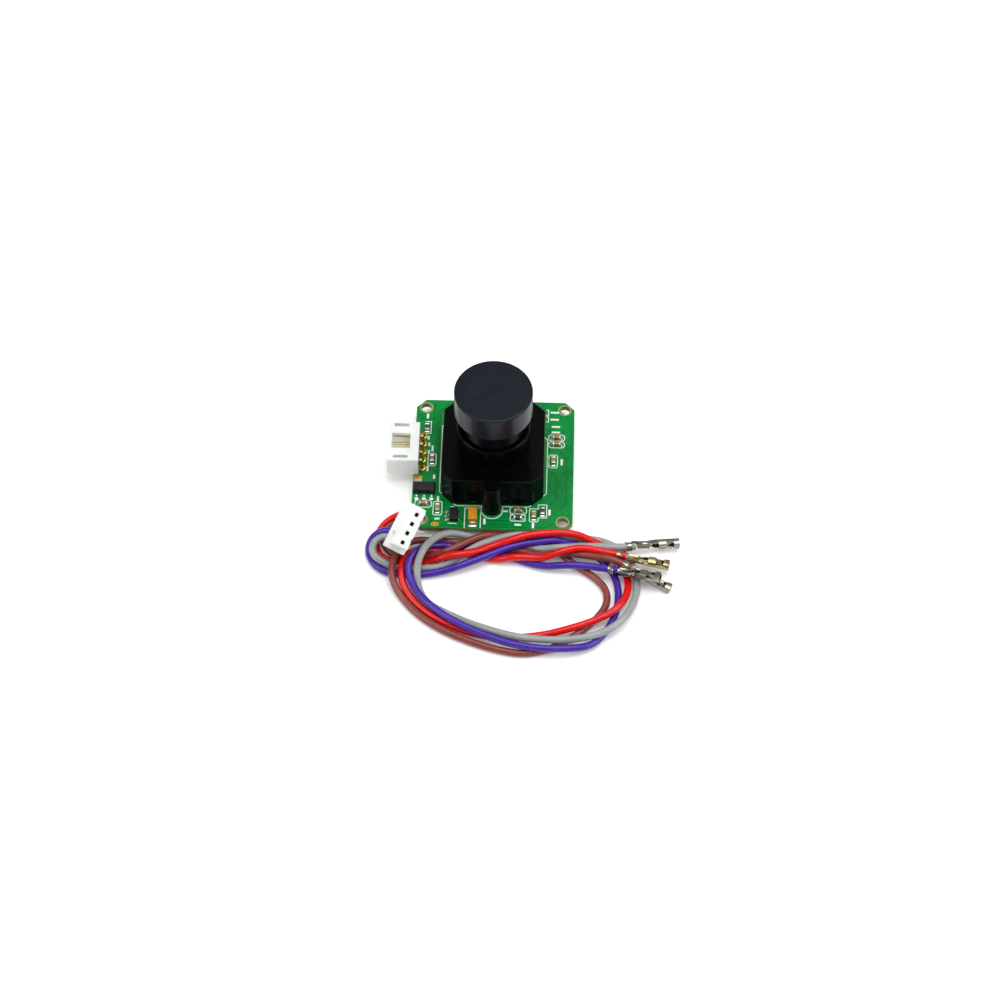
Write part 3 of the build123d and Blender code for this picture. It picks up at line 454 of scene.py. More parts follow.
def cap_material():
    material, tree, shader, place = new_material("cap_plastic")
    rings = wave(tree, place, TURNED_RING_PERIOD, 1.5, wave_type="RINGS", rings_direction="Z")
    tone = drift(tree, place, 3.0, 4.0, "151b23", "11161d")
    specks = node(tree, "TexVoronoi", {"Vector": place, "Scale": 1 / (SPECK_SPACING * MM)})
    dust = spread(tree, specks.outputs["Distance"], 0.5, 0.0, 0.03, 0.07)
    tree.links.new(mixed(tree, dust, tone, linear("4d545e")), shader.inputs["Base Color"])
    uneven_gloss(tree, shader, place, 0.8, 0.16, 0.24, detail=3.0)
    shader.inputs["Specular IOR Level"].default_value = 0.17
    relief(tree, shader, maths(tree, "ADD", rings, noise(tree, place, 0.3, 3.0)), 0.0012)
    return material


def glass(name, tint, roughness):
    material, tree, shader, place = new_material(name)
    shader.inputs["Base Color"].default_value = linear(tint)
    shader.inputs["Transmission Weight"].default_value = 1.0
    shader.inputs["IOR"].default_value = 1.52
    shader.inputs["Coat Weight"].default_value = 0.5
    shader.inputs["Coat Tint"].default_value = linear("b79adf")
    uneven_gloss(tree, shader, place, 0.6, 0.0, roughness)
    return material


# Tantalum block with its polarity band at the far end
BAND_START = -12.15


def tantalum_material():
    material, tree, shader, place = new_material("tantalum_resin")
    tone = drift(tree, place, 0.6, 3.0, "cf8a0c", "b87408")
    along = node(tree, "SeparateXYZ", {0: place}).outputs[1]
    band = maths(tree, "GREATER_THAN", along, BAND_START * MM)
    tree.links.new(mixed(tree, band, tone, linear("a86a18")), shader.inputs["Base Color"])
    uneven_gloss(tree, shader, place, 0.2, 0.35, 0.5)
    relief(tree, shader, noise(tree, place, 0.1), 0.003)
    return material


# Resistor: dark film on top, pale ceramic at the sides
def resistor_material():
    material, tree, shader, place = new_material("resistor_ceramic")
    flat = level_faces(tree, 0.7)
    speckle = spread(tree, noise(tree, place, 0.1, 2.0), 0.0, 0.6)
    film = mixed(tree, speckle, linear("17181b"), linear("3a3b3e"))
    tree.links.new(mixed(tree, flat, linear("cfccc2"), film), shader.inputs["Base Color"])
    uneven_gloss(tree, shader, place, 0.15, 0.3, 0.5)
    relief(tree, shader, noise(tree, place, 0.08), 0.002)
    return material


mask = mask_material()
mask_gap = plastic("mask_gap", "02652a", "025022", 0.3, level=0.14)
silk = plastic("silk_ink", "e8ece6", "d8ded6", 0.6, level=0.3, patch=0.5, grain=0.06)
bare_laminate = plastic("bare_laminate", "a89a5c", "8f8450", 0.6, patch=0.6)
gold = metal("gold_plate", "d9a936", "c4942a", 0.3)
pin_plate = metal("pin_plate", "d9c486", "c2a964", 0.28)
tin = metal("tin_plate", "d6d7d6", "bfc1c0", 0.3)
solder = metal("solder", "dcdcda", "c2c3c2", 0.22, grain=0.4, depth=0.01)
steel = metal("screw_steel", "b9bbbd", "a2a4a7", 0.32)
socket_tin = metal("socket_tin", "a19d92", "868277", 0.17, grain=0.5, depth=0.008)
socket_brass = metal("socket_brass", "b0a480", "94875f", 0.18, grain=0.5, depth=0.008)
strand_copper = metal("strand_copper", "d9cfc2", "c4b4a2", 0.3)
anodised = plastic("black_anodised", "060607", "030304", 0.2, level=0.07, grain=0.08)
holder_black = plastic("holder_plastic", "060608", "030304", 0.2, level=0.07, grain=0.3, depth=0.003)
chip_black = plastic("chip_resin", "0d0c0e", "080709", 0.42, level=0.3, grain=0.05)
chip_violet = plastic("regulator_resin", "16121a", "0f0c12", 0.42, level=0.3, grain=0.05)
tan_ceramic = plastic("capacitor_ceramic", "a97f4e", "8a6438", 0.4, patch=0.5, grain=0.08)
ferrite = plastic("inductor_ceramic", "3c3e40", "232426", 0.4, patch=0.5, grain=0.08)
package_ceramic = plastic("sensor_ceramic", "4a4038", "3c342d", 0.5, grain=0.1)
silicon = surface("silicon", "2c3a4a", "3f4f66", 0.15, patch=0.6, grain=0.03, depth=0.001, Metallic=0.6)
white_nylon = nylon("connector_white", "eef1ee", "e2e7e3")
cap_finish = cap_material()
clear_glass = glass("lens_glass", "e6eef0", 0.03)
filter_glass = glass("filter_glass", "a9d6cf", 0.03)

FINISHES = {
    mask: ["circuit_board"],
    cap_finish: ["lens_cap"],
    filter_glass: ["infrared_filter"],
    clear_glass: ["sensor_glass", "front_glass", "middle_glass", "rear_glass"],
    steel: ["holder_screws"],
    package_ceramic: ["sensor_package", "crystal_base"],
    silicon: ["sensor_die"],
    anodised: ["lens_barrel", "front_ring", "rear_ring", "glass_spacer"],
    gold: ["plug_contacts"],
    solder: ["driver_leads"],
    tin: ["processor_leads", "memory_leads"],
}
for finish, names in FINISHES.items():
    for name in names:
        node_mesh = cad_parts[name].data
        node_mesh.materials.clear()
        node_mesh.materials.append(finish)

# Small parts with their edges rounded: piece, node, width of the rounding, finish and slot
SMALL_PARTS = [
    ("header_shell", "header_housing", 0.12, white_nylon, "connector_white"),
    ("header_pin_row", "header_pins", 0.05, pin_plate, "tin_plate"),
    ("regulator_block", "regulator_body", 0.08, chip_violet, "chip_resin"),
    ("regulator_metal", "regulator_leads", 0.05, solder, "tin_plate"),
    ("driver_block", "driver_body", 0.07, chip_black, "chip_resin"),
    ("tantalum_block", "tantalum_body", 0.07, tantalum_material(), "tantalum_resin"),
    ("tantalum_straps", "tantalum_ends", 0.05, tin, "tin_plate"),
    ("capacitor_blocks", "capacitor_bodies", 0.05, tan_ceramic, "capacitor_ceramic"),
    ("capacitor_caps", "capacitor_ends", 0.06, tin, "tin_plate"),
    ("resistor_blocks", "resistor_bodies", 0.04, resistor_material(), "resistor_ceramic"),
    ("resistor_caps", "resistor_ends", 0.05, tin, "tin_plate"),
    ("inductor_block", "inductor_bodies", 0.05, ferrite, "inductor_ceramic"),
    ("inductor_caps", "inductor_ends", 0.05, tin, "tin_plate"),
    ("holder_shell", "lens_holder", 0.12, holder_black, "holder_plastic"),
    ("processor_block", "processor_body", 0.08, chip_black, "chip_resin"),
    ("memory_block", "memory_body", 0.08, chip_black, "chip_resin"),
    ("crystal_can", "crystal_lid", 0.04, steel, "screw_steel"),
    ("plug_shell", "plug_housing", 0.1, white_nylon, "connector_white"),
]
for part in SMALL_PARTS:
    softened(*part)

# Lens barrel with its thread cut as a helix, 0.5 mm a turn
THREAD_PITCH = 0.5
THREAD_ROOT = 5.68
THREAD_CREST = 5.95
THREAD_REAR = 7.8
THREAD_FRONT = 19.3
THREAD_RUN_IN = 0.3
THREAD_RUN_OUT = 0.4
FLANK_RISE = 1.3
ROOT_FLAT = 0.1
BARREL_SIDES = 96
ROWS_PER_TURN = 8
# Radius and height of the section's corners: rear bore and rear end, then shoulder, head and front bore
REAR_CORNERS = [(2.8, 17.5), (4.6, 17.5), (4.6, 7.5), (5.65, 7.5)]
FRONT_CORNERS = [(5.95, 19.5), (6.55, 19.5), (6.78, 19.56), (6.88, 19.7), (6.9, 19.85), (6.9, 23.45),
                 (6.86, 23.64), (6.76, 23.75), (6.6, 23.8), (6.0, 23.8), (5.6, 23.4), (5.6, 20.3),
                 (3.8, 20.3)]


def thread_radius(z, share_of_turn):
    phase = ((z - THREAD_REAR) / THREAD_PITCH - share_of_turn) % 1.0
    flank = 1 - abs(2 * phase - 1)
    crest = min(1.0, max(0.0, FLANK_RISE * flank - ROOT_FLAT))
    fade = min(1.0, (z - THREAD_REAR) / THREAD_RUN_IN, (THREAD_FRONT - z) / THREAD_RUN_OUT)
    return THREAD_CREST - (THREAD_CREST - THREAD_ROOT) * (1 - crest) * max(0.0, fade)


def barrel_rows():
    rows = [[(radius, z)] * BARREL_SIDES for radius, z in REAR_CORNERS]
    steps = round((THREAD_FRONT - THREAD_REAR) / THREAD_PITCH * ROWS_PER_TURN)
    for k in range(steps + 1):
        z = THREAD_REAR + (THREAD_FRONT - THREAD_REAR) * k / steps
        rows.append([(thread_radius(z, i / BARREL_SIDES), z) for i in range(BARREL_SIDES)])
    return rows + [[(radius, z)] * BARREL_SIDES for radius, z in FRONT_CORNERS]


barrel_sections = []
for row in barrel_rows():
    section = []
    for i, (radius, z) in enumerate(row):
        angle = math.tau * i / BARREL_SIDES
        section.append((radius * math.cos(angle), radius * math.sin(angle), z))
    barrel_sections.append(section)
barrel = bmesh.new()
add_loft(barrel, barrel_sections, closed=True)
make_piece("threaded_barrel", barrel, anodised, "black_anodised", "lens_barrel", ["lens_barrel"])

# Silk-screen lines on the front of the board
INK = 0.02
LINE = 0.17
front_ink = bmesh.new()
ink_low, ink_high = BOARD_TOP, BOARD_TOP + INK
holder_line = [(10.7, 6.4), (9.5, 7.6), (9.5, 9.5), (-10.6, 9.5), (-10.6, -7.1), (-7.2, -10.5), (-2.1, -10.5),
               *arc(0, -11.35, 2.15, 180, 360, 16), (2.1, -10.5), (7.3, -10.5), (10.7, -7.1)]
add_ribbon(front_ink, holder_line, LINE, ink_low, ink_high, closed=True)

# Rounded outlines round the small parts: middle, width, height and corner radius
front_outlines = [
    (-12.4, 0.8, 1.6, 3.1, 0.4), (-13.7, -10.2, 3.3, 1.75, 0.6), (-10.8, -11.25, 1.75, 3.3, 0.4),
    (5.2, -11.4, 3.3, 1.7, 0.6), (5.15, -13.2, 2.9, 1.5, 0.15), (8.3, -12.45, 1.7, 3.2, 0.35),
    (10.0, -11.45, 1.7, 3.2, 0.1), (12.5, 6.95, 3.2, 1.55, 0.6), (12.5, 5.2, 3.2, 1.5, 0.6),
    (11.9, 1.0, 1.7, 3.2, 0.4),
]
for outline in front_outlines:
    add_ribbon(front_ink, rounded_box(*outline), LINE, ink_low, ink_high, closed=True)
open_lines = [
    [(-5.35, -15.9), (-5.35, -11.05), (-2.2, -11.05), (-2.2, -15.9)],
    [(-14.1, 10.4), (-12.9, 10.4), (-12.9, 7.4), (-14.1, 7.4)],
    [(-8.6, -14.85), (-6.9, -14.85)],
    [(10.3, 14.0), (10.75, 14.0), (10.75, 12.7), (10.3, 12.7)],
    [(10.3, 12.3), (10.75, 12.3), (10.75, 11.0), (10.3, 11.0)],
]
for path in open_lines:
    add_ribbon(front_ink, path, LINE, ink_low, ink_high)

# Short plain bars printed beside the parts: middle, length and direction in degrees
BAR_WIDTH = 0.44
bars = [
    (12.0, 13.4, 1.7, 0), (12.0, 11.6, 1.7, 0), (12.3, 9.75, 1.7, 0), (12.3, 8.35, 1.7, 0),
    (13.6, 0.85, 1.5, 90), (-13.67, 11.8, 1.2, 90), (-13.3, 6.3, 0.9, 90), (-13.1, 4.6, 0.9, 90),
    (-13.1, 2.7, 0.9, 90), (-13.2, -1.5, 1.3, 90), (-12.4, 3.6, 1.5, 90), (-11.8, -3.5, 1.0, 90),
    (-10.8, -8.9, 1.2, 90), (2.5, -11.6, 1.3, 0), (5.2, -14.85, 1.3, 0), (8.2, -14.95, 1.3, 90),
    (11.4, -11.7, 1.4, 90), (-10.8, -13.8, 1.0, 0), (-1.4, -14.2, 1.4, 90), (-7.9, -10.95, 0.7, 0),
]
for x, y, length, direction in bars:
    half = Vector((math.cos(math.radians(direction)), math.sin(math.radians(direction)))) * length / 2
    add_ribbon(front_ink, [Vector((x, y)) - half, Vector((x, y)) + half], BAR_WIDTH, ink_low, ink_high)

# Printed dots, with a pinhole in the middle of each
DOT_PINHOLE = 0.02
DOT_RADIUS = 0.17
DOT_SIDES = 12
for x, y in ((-15.2, -9.25), (-13.35, -9.3)):
    add_ring(front_ink, x, y, DOT_PINHOLE, DOT_RADIUS, ink_low, ink_high, DOT_SIDES)
make_piece("front_silk", front_ink, silk, "board_resin")

# Silk-screen outlines on the rear
rear_ink = bmesh.new()
rear_outlines = [
    (0, 0, 10.4, 10.4, 0.2), (9.6, -1.2, 7.4, 6.0, 0.2), (-9.6, 0.9, 6.0, 4.2, 0.3),
    (-8.2, 6.1, 2.9, 3.4, 0.3), (9.2, 9.4, 3.5, 3.2, 0.3), (-10.0, -3.4, 5.3, 3.0, 0.3),
]
for outline in rear_outlines:
    add_ribbon(rear_ink, rounded_box(*outline), LINE, -INK, 0, closed=True)
make_piece("rear_silk", rear_ink, silk, "board_resin")

# Gaps in the copper under the mask, seen as darker lines, and via holes
GAP_HEIGHT = 0.009
GAP_WIDTH = 0.2
VIA_HEIGHT = GAP_HEIGHT + 0.004
VIA_RADIUS = 0.24
VIA_SIDES = 16
PINHOLE = 0.01
front_gaps = [
    [(-8.4, 15.2), (-10.2, 13.4), (-11.15, 12.4), (-11.15, -4.6), (-12.2, -5.6)],
    [(-9.2, 15.2), (-11.65, 12.75), (-11.65, 4.6)],
    [(-11.95, 15.0), (-12.3, 14.6), (-12.3, 10.9)],
    [(-11.0, -7.6), (-9.6, -9.0), (-9.6, -10.6)],
    [(-6.2, -14.05), (-5.6, -14.05)],
    [(-1.9, -13.95), (3.4, -13.95), (3.9, -14.2)],
    [(-2.0, -14.85), (4.5, -14.85)],
    [(-10.2, -15.5), (-5.6, -15.5), (10.5, -15.5), (12.2, -14.2)],
    [(11.1, 9.3), (11.1, 3.4), (10.4, 2.7)],
    [(13.4, 3.6), (13.4, 3.0), (14.6, 1.8), (14.6, -9.5), (13.0, -11.1)],
    [(11.2, -1.4), (12.6, -2.8), (12.6, -8.8)],
    [(9.0, 14.9), (9.9, 14.0), (9.9, 10.6)],
    [(-14.9, 11.2), (-12.2, 11.2)],
    [(12.0, 14.6), (14.9, 11.9)],
]
rear_gaps = [
    [(-14.3, 4.8), (-12.0, 4.8), (-10.5, 3.3)],
    [(-14.3, 2.8), (-13.0, 1.5), (-12.4, 1.5)],
    [(-14.3, 0.8), (-12.8, -0.7), (-12.8, -5.2), (-9.5, -8.5), (-6.4, -8.4)],
    [(-14.3, -1.2), (-13.6, -1.9), (-13.6, -9.0), (-10.0, -12.6), (4.0, -12.6), (8.0, -8.6), (8.0, -4.6)],
    [(4.9, 2.0), (6.4, 2.0), (7.4, 1.0)],
    [(4.9, 0.5), (6.6, 0.5)],
    [(4.9, -1.0), (6.6, -1.0)],
    [(-2.0, 4.9), (-2.0, 8.6), (0.6, 12.9), (8.0, 12.9), (10.2, 10.6)],
    [(2.0, -4.9), (2.0, -7.6), (4.4, -8.4)],
    [(-4.9, -1.0), (-6.6, -2.7)],
    [(11.9, -1.2), (14.4, -3.7), (14.4, -9.6), (11.5, -12.5)],
]
vias = [
    (11.8, -2.1), (13.95, -1.9), (11.25, -4.9), (13.1, -4.95), (13.0, -8.25), (11.55, -9.55), (-11.4, 6.2),
    (13.3, 12.2), (-9.1, 13.6), (0.6, -14.4), (-11.9, -14.3), (13.9, 8.4), (7.4, -14.0), (-15.0, 12.1),
]
gaps = bmesh.new()
for path in front_gaps:
    add_ribbon(gaps, path, GAP_WIDTH, BOARD_TOP, BOARD_TOP + GAP_HEIGHT)
for path in rear_gaps:
    add_ribbon(gaps, path, GAP_WIDTH, -GAP_HEIGHT, 0)
for x, y in vias:
    add_ring(gaps, x, y, PINHOLE, VIA_RADIUS, BOARD_TOP, BOARD_TOP + VIA_HEIGHT, VIA_SIDES)
    add_ring(gaps, x, y, PINHOLE, VIA_RADIUS, -VIA_HEIGHT, 0, VIA_SIDES)
make_piece("copper_gaps", gaps, mask_gap, "board_resin")

# Plated rings round the header's row of holes
PLATE = 0.03
PIN_X = -14.3
FIRST_PIN_Y = -1.2
PIN_HOLES = 5
PIN_YS = [FIRST_PIN_Y + PITCH * i for i in range(PIN_HOLES)]
PIN_SIDES = 24
HOLE_EDGE = 0.41
RING_RADIUS = 0.7
RING_MIDDLE_RADIUS = 0.74
plating = bmesh.new()
for y in PIN_YS:
    for low, high in ((BOARD_TOP, BOARD_TOP + PLATE), (-PLATE, 0)):
        section = [(HOLE_EDGE, low), (RING_RADIUS, low), (RING_MIDDLE_RADIUS, (low + high) / 2),
                   (RING_RADIUS, high), (HOLE_EDGE, high)]
        add_turned(plating, section, PIN_X, y, PIN_SIDES)

# Oval test pad with its two vias, and a square pad at the left edge
PAD_X = -11.2
PAD_Y = -15.1
PAD_HALF_LENGTH = 0.82
PAD_HALF_WIDTH = 0.5
PAD_VIA_OFFSET = 0.3
PAD_VIA_RADIUS = 0.14
PAD_VIA_HEIGHT = PLATE + 0.01
oval = [(PAD_X + PAD_HALF_LENGTH * x, PAD_Y + PAD_HALF_WIDTH * y) for x, y in circle(0, 0, 1, 24)]
add_prism(plating, oval, BOARD_TOP, BOARD_TOP + PLATE)
add_prism(plating, rounded_box(-15.05, -4.1, 1.75, 1.5, 0.1, steps=2), BOARD_TOP, BOARD_TOP + PLATE)
make_piece("gold_pads", plating, gold, "gold_plate")
pad_marks = bmesh.new()
for x in (PAD_X - PAD_VIA_OFFSET, PAD_X + PAD_VIA_OFFSET):
    add_ring(pad_marks, x, PAD_Y, PINHOLE, PAD_VIA_RADIUS, BOARD_TOP, BOARD_TOP + PAD_VIA_HEIGHT, VIA_SIDES)
make_piece("pad_vias", pad_marks, mask_gap, "board_resin")

# Bare rims of the mounting holes
HOLE_PLACE = 14
RIM_INNER = 1.1
RIM_OUTER = 1.34
RIM_HEIGHT = 0.012
RIM_SIDES = 40
rims = bmesh.new()
for x in (-HOLE_PLACE, HOLE_PLACE):
    for y in (-HOLE_PLACE, HOLE_PLACE):
        for low, high in ((BOARD_TOP, BOARD_TOP + RIM_HEIGHT), (-RIM_HEIGHT, 0)):
            add_ring(rims, x, y, RIM_INNER, RIM_OUTER, low, high, RIM_SIDES)
make_piece("hole_rims", rims, bare_laminate, "board_resin")

# Solder joints: a pad with a hollow-faced fillet that rises to the part's end
JOINT_BACK = 0.25
JOINT_BACK_RISE = 0.3
JOINT_TOE = 0.04
JOINT_LIP = 0.02
# Along the hollow face, as shares of reach and rise, then across the joint, as shares of width and of size
HOLLOW_FACE = [(0.6, 0.16), (0.3, 0.42)]
JOINT_STATIONS = [(-0.5, 0.72), (-0.38, 1.0), (0.38, 1.0), (0.5, 0.72)]
joints = bmesh.new()


def add_joint(x, y, direction, start, reach, width, rise, rear=False):
    along = Vector((math.cos(math.radians(direction)), math.sin(math.radians(direction))))
    side = Vector((-along.y, along.x))
    base, way = (0.0, -1) if rear else (BOARD_TOP, 1)
    hollow = [(start + reach * out, rise * height) for out, height in HOLLOW_FACE]
    profile = [(start - JOINT_BACK, 0.0), (start + reach, 0.0), (start + reach, JOINT_TOE), *hollow,
               (start + JOINT_LIP, rise), (start - JOINT_BACK, rise * JOINT_BACK_RISE)]
    sections = []
    for share, scale in JOINT_STATIONS:
        section = []
        for out, height in profile:
            out_here = start + (out - start) * scale if out > start else out
            spot = Vector((x, y)) + along * out_here + side * share * width
            section.append((spot.x, spot.y, base + way * height * scale))
        sections.append(section)
    add_loft(joints, sections)


# Chip parts: middle and direction of each, with a joint at both ends
CHIP_JOINT = {"start": 0.8, "reach": 0.36, "width": 0.95, "rise": 0.42}
front_chips = [(-12.4, 0.8, 90), (-13.7, -10.2, 0), (-10.8, -11.3, 90), (5.2, -11.45, 0), (8.3, -12.5, 90),
               (12.5, 6.9, 0), (12.5, 5.2, 0), (11.9, 1.0, 90), (-13.7, 8.9, 90), (10.0, -11.5, 90),
               (5.15, -13.2, 0)]
rear_chips = [(-8.2, 7.0, 0), (-8.2, 5.2, 0), (8.2, 9.4, 90), (10.2, 9.4, 90), (-5.2, -8.4, 0),
              (5.2, -8.4, 0), (-8.2, -3.4, 90), (-10.0, -3.4, 90), (-11.8, -3.4, 90), (4.4, 7.4, 0)]
for chips, rear in ((front_chips, False), (rear_chips, True)):
    for x, y, direction in chips:
        for side in (0, 180):
            add_joint(x, y, direction + side, **CHIP_JOINT, rear=rear)

# Joints of the tantalum block, the regulator and the driver: places, direction, start, reach, width and rise
lead_joints = [
    ([(-3.75, -14.725)], 270, 0.35, 0.45, 1.6, 0.5),
    ([(-3.75, -11.475)], 90, 0.35, 0.45, 1.6, 0.5),
    ([(-15.1, -8.7), (-13.6, -8.7), (-12.1, -8.7)], 270, 0.0, 0.45, 0.75, 0.3),
    ([(-8.95, -13.95), (-8.95, -13.0), (-8.95, -12.05)], 180, -0.1, 0.4, 0.6, 0.16),
    ([(-6.05, -13.95), (-6.05, -12.05)], 0, -0.1, 0.35, 0.55, 0.16),
]
for places, *joint in lead_joints:
    for x, y in places:
        add_joint(x, y, *joint)

# Cones of solder round the header's pins, behind the board: the last hole is empty
PIN_CONE = [(0.2, 0.0), (0.72, 0.0), (0.66, -0.1), (0.5, -0.3), (0.36, -0.58), (0.26, -0.78), (0.2, -0.84)]
for y in PIN_YS[:-1]:
    add_turned(joints, PIN_CONE, PIN_X, y, PIN_SIDES)
make_piece("solder_joints", joints, solder, "tin_plate")

# Sockets: folded sheet with two crimps, a neck and a box, and the bare strands between
SHEET = 0.16
CRIMP_FLOOR = -0.9
CHANNEL_CORNER = 0.18
BOX_CORNER = 0.22
BOX_SEAM = 0.03
BOX_HALF_WIDTH = 0.77
BOX_HEIGHT = 1.42

# Sheet rolled round the wire, with its tips bent inwards from this share of each side
TIP_BEGIN = 0.8
WRAP_STEPS = 22


def rolled(radius, tip_turn, tip_drop):
    spots = []
    for i in range(WRAP_STEPS + 1):
        share = abs(2 * i / WRAP_STEPS - 1)
        angle = math.radians(90 + tip_turn + (360 - 2 * tip_turn) * i / WRAP_STEPS)
        reach = radius - tip_drop * max(0.0, share - TIP_BEGIN) / (1 - TIP_BEGIN)
        spots.append((reach * math.cos(angle), reach * math.sin(angle)))
    return spots


def channel(half_width, height):
    corner = CHANNEL_CORNER
    return [(half_width, height), *arc(half_width - corner, corner, corner, 0, -90, 3),
            *arc(corner - half_width, corner, corner, 270, 180, 3), (-half_width, height)]


def box_outline():
    corner = BOX_CORNER
    inset = BOX_HALF_WIDTH - corner
    path = [(BOX_SEAM, BOX_HEIGHT)]
    path += arc(inset, BOX_HEIGHT - corner, corner, 90, 0, 3)
    path += arc(inset, corner, corner, 0, -90, 3)
    path += arc(-inset, corner, corner, 270, 180, 3)
    path += arc(-inset, BOX_HEIGHT - corner, corner, 180, 90, 3)
    return path + [(-BOX_SEAM, BOX_HEIGHT)]


# Two wings rolled over the strands: one side from its tip to the middle, and the same mirrored
WING = [(0.05, 0.42), (0.1, 0.66), (0.24, 0.86), (0.42, 0.9), (0.57, 0.76), (0.6, 0.5), (0.56, 0.22),
        (0.4, 0.1), (0.15, 0.08)]
WINGS = WING + [(-x, y) for x, y in reversed(WING)]

# Folds from the wire to the mouth: outline, height of its base, and stations of distance and both scales
SOCKET_FOLDS = [
    (rolled(0.84, 5, 0.12), 0.0,
     [(-2.25, 1.06, 1.06), (-2.1, 1.0, 1.0), (-1.3, 1.0, 1.0), (-1.15, 1.05, 1.05)]),
    (channel(0.45, 0.5), CRIMP_FLOOR, [(-2.5, 0.8, 0.25), (-2.2, 1.0, 0.35)]),
    (channel(0.6, 0.5), CRIMP_FLOOR, [(-1.25, 1.0, 0.5), (-0.5, 1.0, 0.5), (0.1, 0.95, 0.8)]),
    (WINGS, CRIMP_FLOOR, [(0.0, 1.25, 1.3), (0.2, 1.12, 1.2), (2.1, 1.12, 1.2), (2.3, 1.22, 1.28)]),
    (channel(0.55, 0.6), CRIMP_FLOOR, [(2.2, 1.0, 1.2), (2.8, 1.1, 1.3), (3.5, 1.32, 1.65)]),
    (channel(0.74, 1.0), CRIMP_FLOOR, [(3.4, 1.0, 1.0), (7.6, 1.0, 1.0)]),
    (box_outline(), CRIMP_FLOOR, [(4.1, 1.0, 1.0), (5.6, 1.0, 1.0)]),
    (box_outline(), CRIMP_FLOOR, [(7.1, 1.0, 1.0), (7.8, 1.04, 1.03), (8.2, 1.07, 1.05)]),
]

# Latch tongue in the box's roof and contact spring on its floor: side outline, height and half width
SOCKET_STRIPS = [
    ([(5.5, 0.08), (6.5, 0.3), (6.6, 0.3), (6.6, 0.16), (5.5, -0.06)], CRIMP_FLOOR + BOX_HEIGHT, 0.3),
    ([(4.2, 0.2), (5.6, 0.8), (7.2, 0.35), (7.2, 0.22), (5.6, 0.67), (4.2, 0.08)], CRIMP_FLOOR + 0.1, 0.4),
]

# Bare strands, twisted about the middle one: distance, drop and squeeze of the bundle, with uneven tips
STRAND = 0.12
STRAND_SIDES = 8
STRAND_COUNT = 7
STRAND_REACH = 2.1 * STRAND
STRAND_TURN = 60
STRAND_TWIST = 25
STRAND_STATIONS = [(-0.7, 0.0, 1.0), (-0.3, -0.05, 1.0), (0.1, -0.3, 0.95), (0.6, -0.42, 0.9),
                   (2.3, -0.42, 0.9)]
TIP_DISTANCE = 2.75
TIP_STEP = 0.1

# The gray wire's socket lies on its side
SOCKET_ROLL = {"red": 0, "brown": 0, "purple": 0, "gray": 90}


# A point in a socket's own directions: along the wire's end from its last point, across it and up
def socket_directions(route, roll):
    end = Vector(route[-1])
    ahead = (end - Vector(route[-2])).normalized()
    across = Matrix.Rotation(math.radians(roll), 3, ahead) @ Vector((-ahead.y, ahead.x, 0)).normalized()
    rise = ahead.cross(across)

    def spot(distance, x, y):
        return end + ahead * distance + across * x + rise * y

    return spot


def socket_shape(spot):
    shape = bmesh.new()
    for path, base, stations in SOCKET_FOLDS:
        outline = offsets(path, SHEET)
        flat = [side[0] for side in outline] + [side[1] for side in reversed(outline)]
        add_loft(shape, [[spot(distance, p.x * scale_x, base + p.y * scale_y) for p in flat]
                         for distance, scale_x, scale_y in stations])
    for profile, base, half_width in SOCKET_STRIPS:
        add_loft(shape, [[spot(distance, x, base + y) for distance, y in profile]
                         for x in (-half_width, half_width)])
    return shape


def strands_shape(spot):
    shape = bmesh.new()
    for k in range(STRAND_COUNT):
        reach = 0.0 if k == 0 else STRAND_REACH
        tip = (TIP_DISTANCE + TIP_STEP * (k % 3), -0.4, 1.15)
        sections = []
        for distance, drop, squeeze in [*STRAND_STATIONS, tip]:
            angle = math.radians(STRAND_TURN * k + STRAND_TWIST * distance)
            x = reach * math.cos(angle) * squeeze
            y = drop + reach * math.sin(angle) * squeeze
            sections.append([spot(distance, cx, cy) for cx, cy in circle(x, y, STRAND, STRAND_SIDES)])
        add_loft(shape, sections)
    return shape


for color, route in WIRES.items():
    spot = socket_directions(route, SOCKET_ROLL[color])
    finish = socket_brass if color == "red" else socket_tin
    make_piece(f"socket_{color}", socket_shape(spot), finish, "terminal_metal",
               replaced=[f"terminal_{color}"])
    make_piece(f"strands_{color}", strands_shape(spot), strand_copper, "terminal_metal")

for cell, (color, cord) in enumerate(cords.items()):
    carried = [f"socket_{color}", f"strands_{color}"]
    if color == "red":
        carried += ["plug_shell", "plug_contacts"]

# Floor: near white, half its side in metres, with a faint glow where it is seen or mirrored
FLOOR_HALF_SIDE = 2.5
FLOOR_PATCH = 300.0
FLOOR_GLOW = 0.12


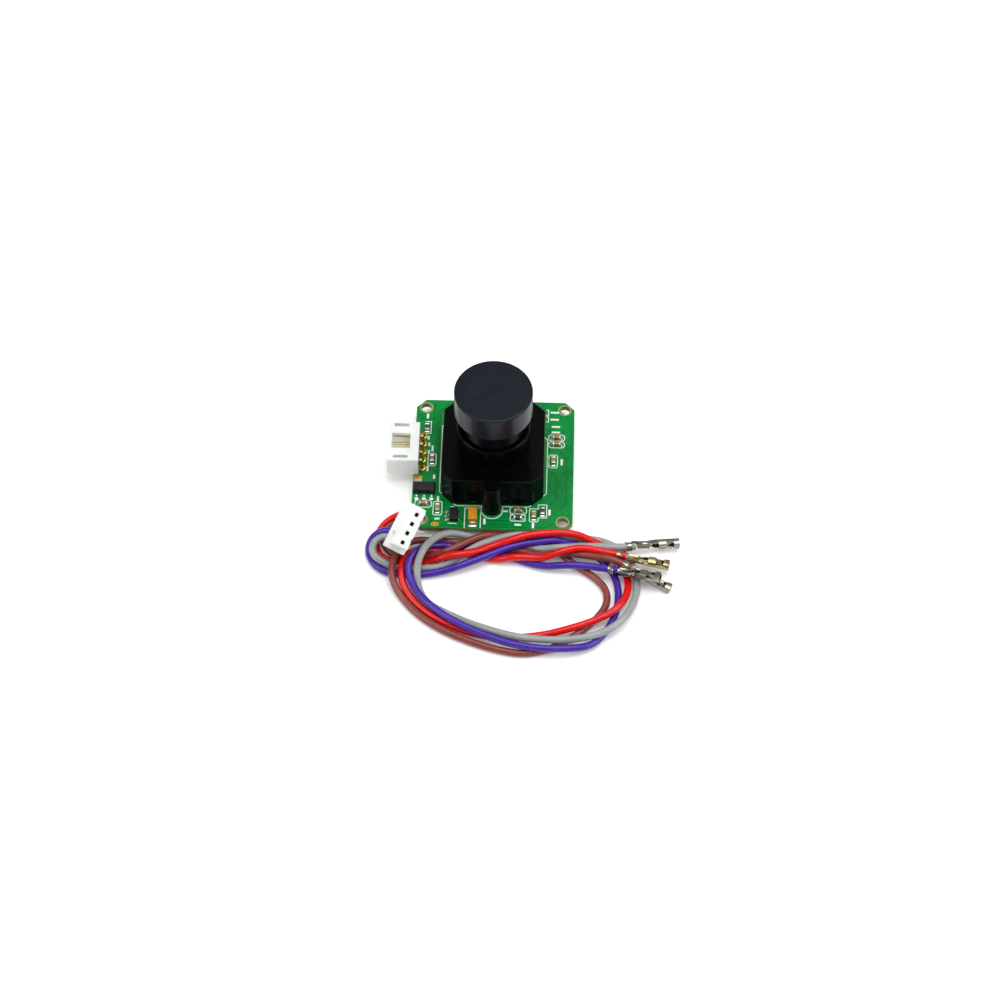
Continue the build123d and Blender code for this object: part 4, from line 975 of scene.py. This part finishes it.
def floor_finish():
    material, tree, shader, place = new_material("floor")
    tree.links.new(drift(tree, place, FLOOR_PATCH, 2.0, "f4f4f4", "f7f7f7"), shader.inputs["Base Color"])
    shader.inputs["Roughness"].default_value = 0.9
    ray = node(tree, "LightPath").outputs
    seen_or_mirrored = maths(tree, "MAXIMUM", ray["Is Camera Ray"], ray["Is Glossy Ray"])
    shown = maths(tree, "MAXIMUM", seen_or_mirrored, ray["Is Transmission Ray"])
    strength = maths(tree, "MULTIPLY", shown, FLOOR_GLOW)
    glow = node(tree, "Emission", {"Color": (1, 1, 1, 1), "Strength": strength})
    both = node(tree, "AddShader", {0: shader.outputs[0], 1: glow.outputs[0]})
    tree.links.new(both.outputs[0], tree.nodes["Material Output"].inputs["Surface"])
    return material


floor_mesh = bmesh.new()
bmesh.ops.create_grid(floor_mesh, x_segments=2, y_segments=2, size=FLOOR_HALF_SIDE)
floor_data = bpy.data.meshes.new("floor")
floor_mesh.to_mesh(floor_data)
floor_mesh.free()
floor_data.materials.append(floor_finish())
floor = bpy.data.objects.new("floor", floor_data)
floor.location = (0, 0, FLOOR * MM)
bpy.context.scene.collection.objects.link(floor)

# White surroundings
WORLD_STRENGTH = 0.45
world = bpy.data.worlds.new("world")
world.use_nodes = True
background = world.node_tree.nodes["Background"]
background.inputs["Color"].default_value = (1, 1, 1, 1)
background.inputs["Strength"].default_value = WORLD_STRENGTH
bpy.context.scene.world = world


# Lamps that face the origin: place and sides in metres, power in watts
def area_light(name, spot, sides, power):
    data = bpy.data.lights.new(name, "AREA")
    data.shape = "RECTANGLE"
    data.size, data.size_y = sides
    data.energy = power
    lamp = bpy.data.objects.new(name, data)
    lamp.location = spot
    lamp.rotation_euler = (-Vector(spot)).to_track_quat("-Z", "Y").to_euler()
    bpy.context.scene.collection.objects.link(lamp)


area_light("light_over", (0.1, 0.1, 1.0), (0.8, 0.8), 7.0)
area_light("light_left", (-0.9, -0.3, 0.6), (0.5, 0.7), 4.0)
area_light("light_right", (0.9, -0.2, 0.6), (0.5, 0.7), 4.0)
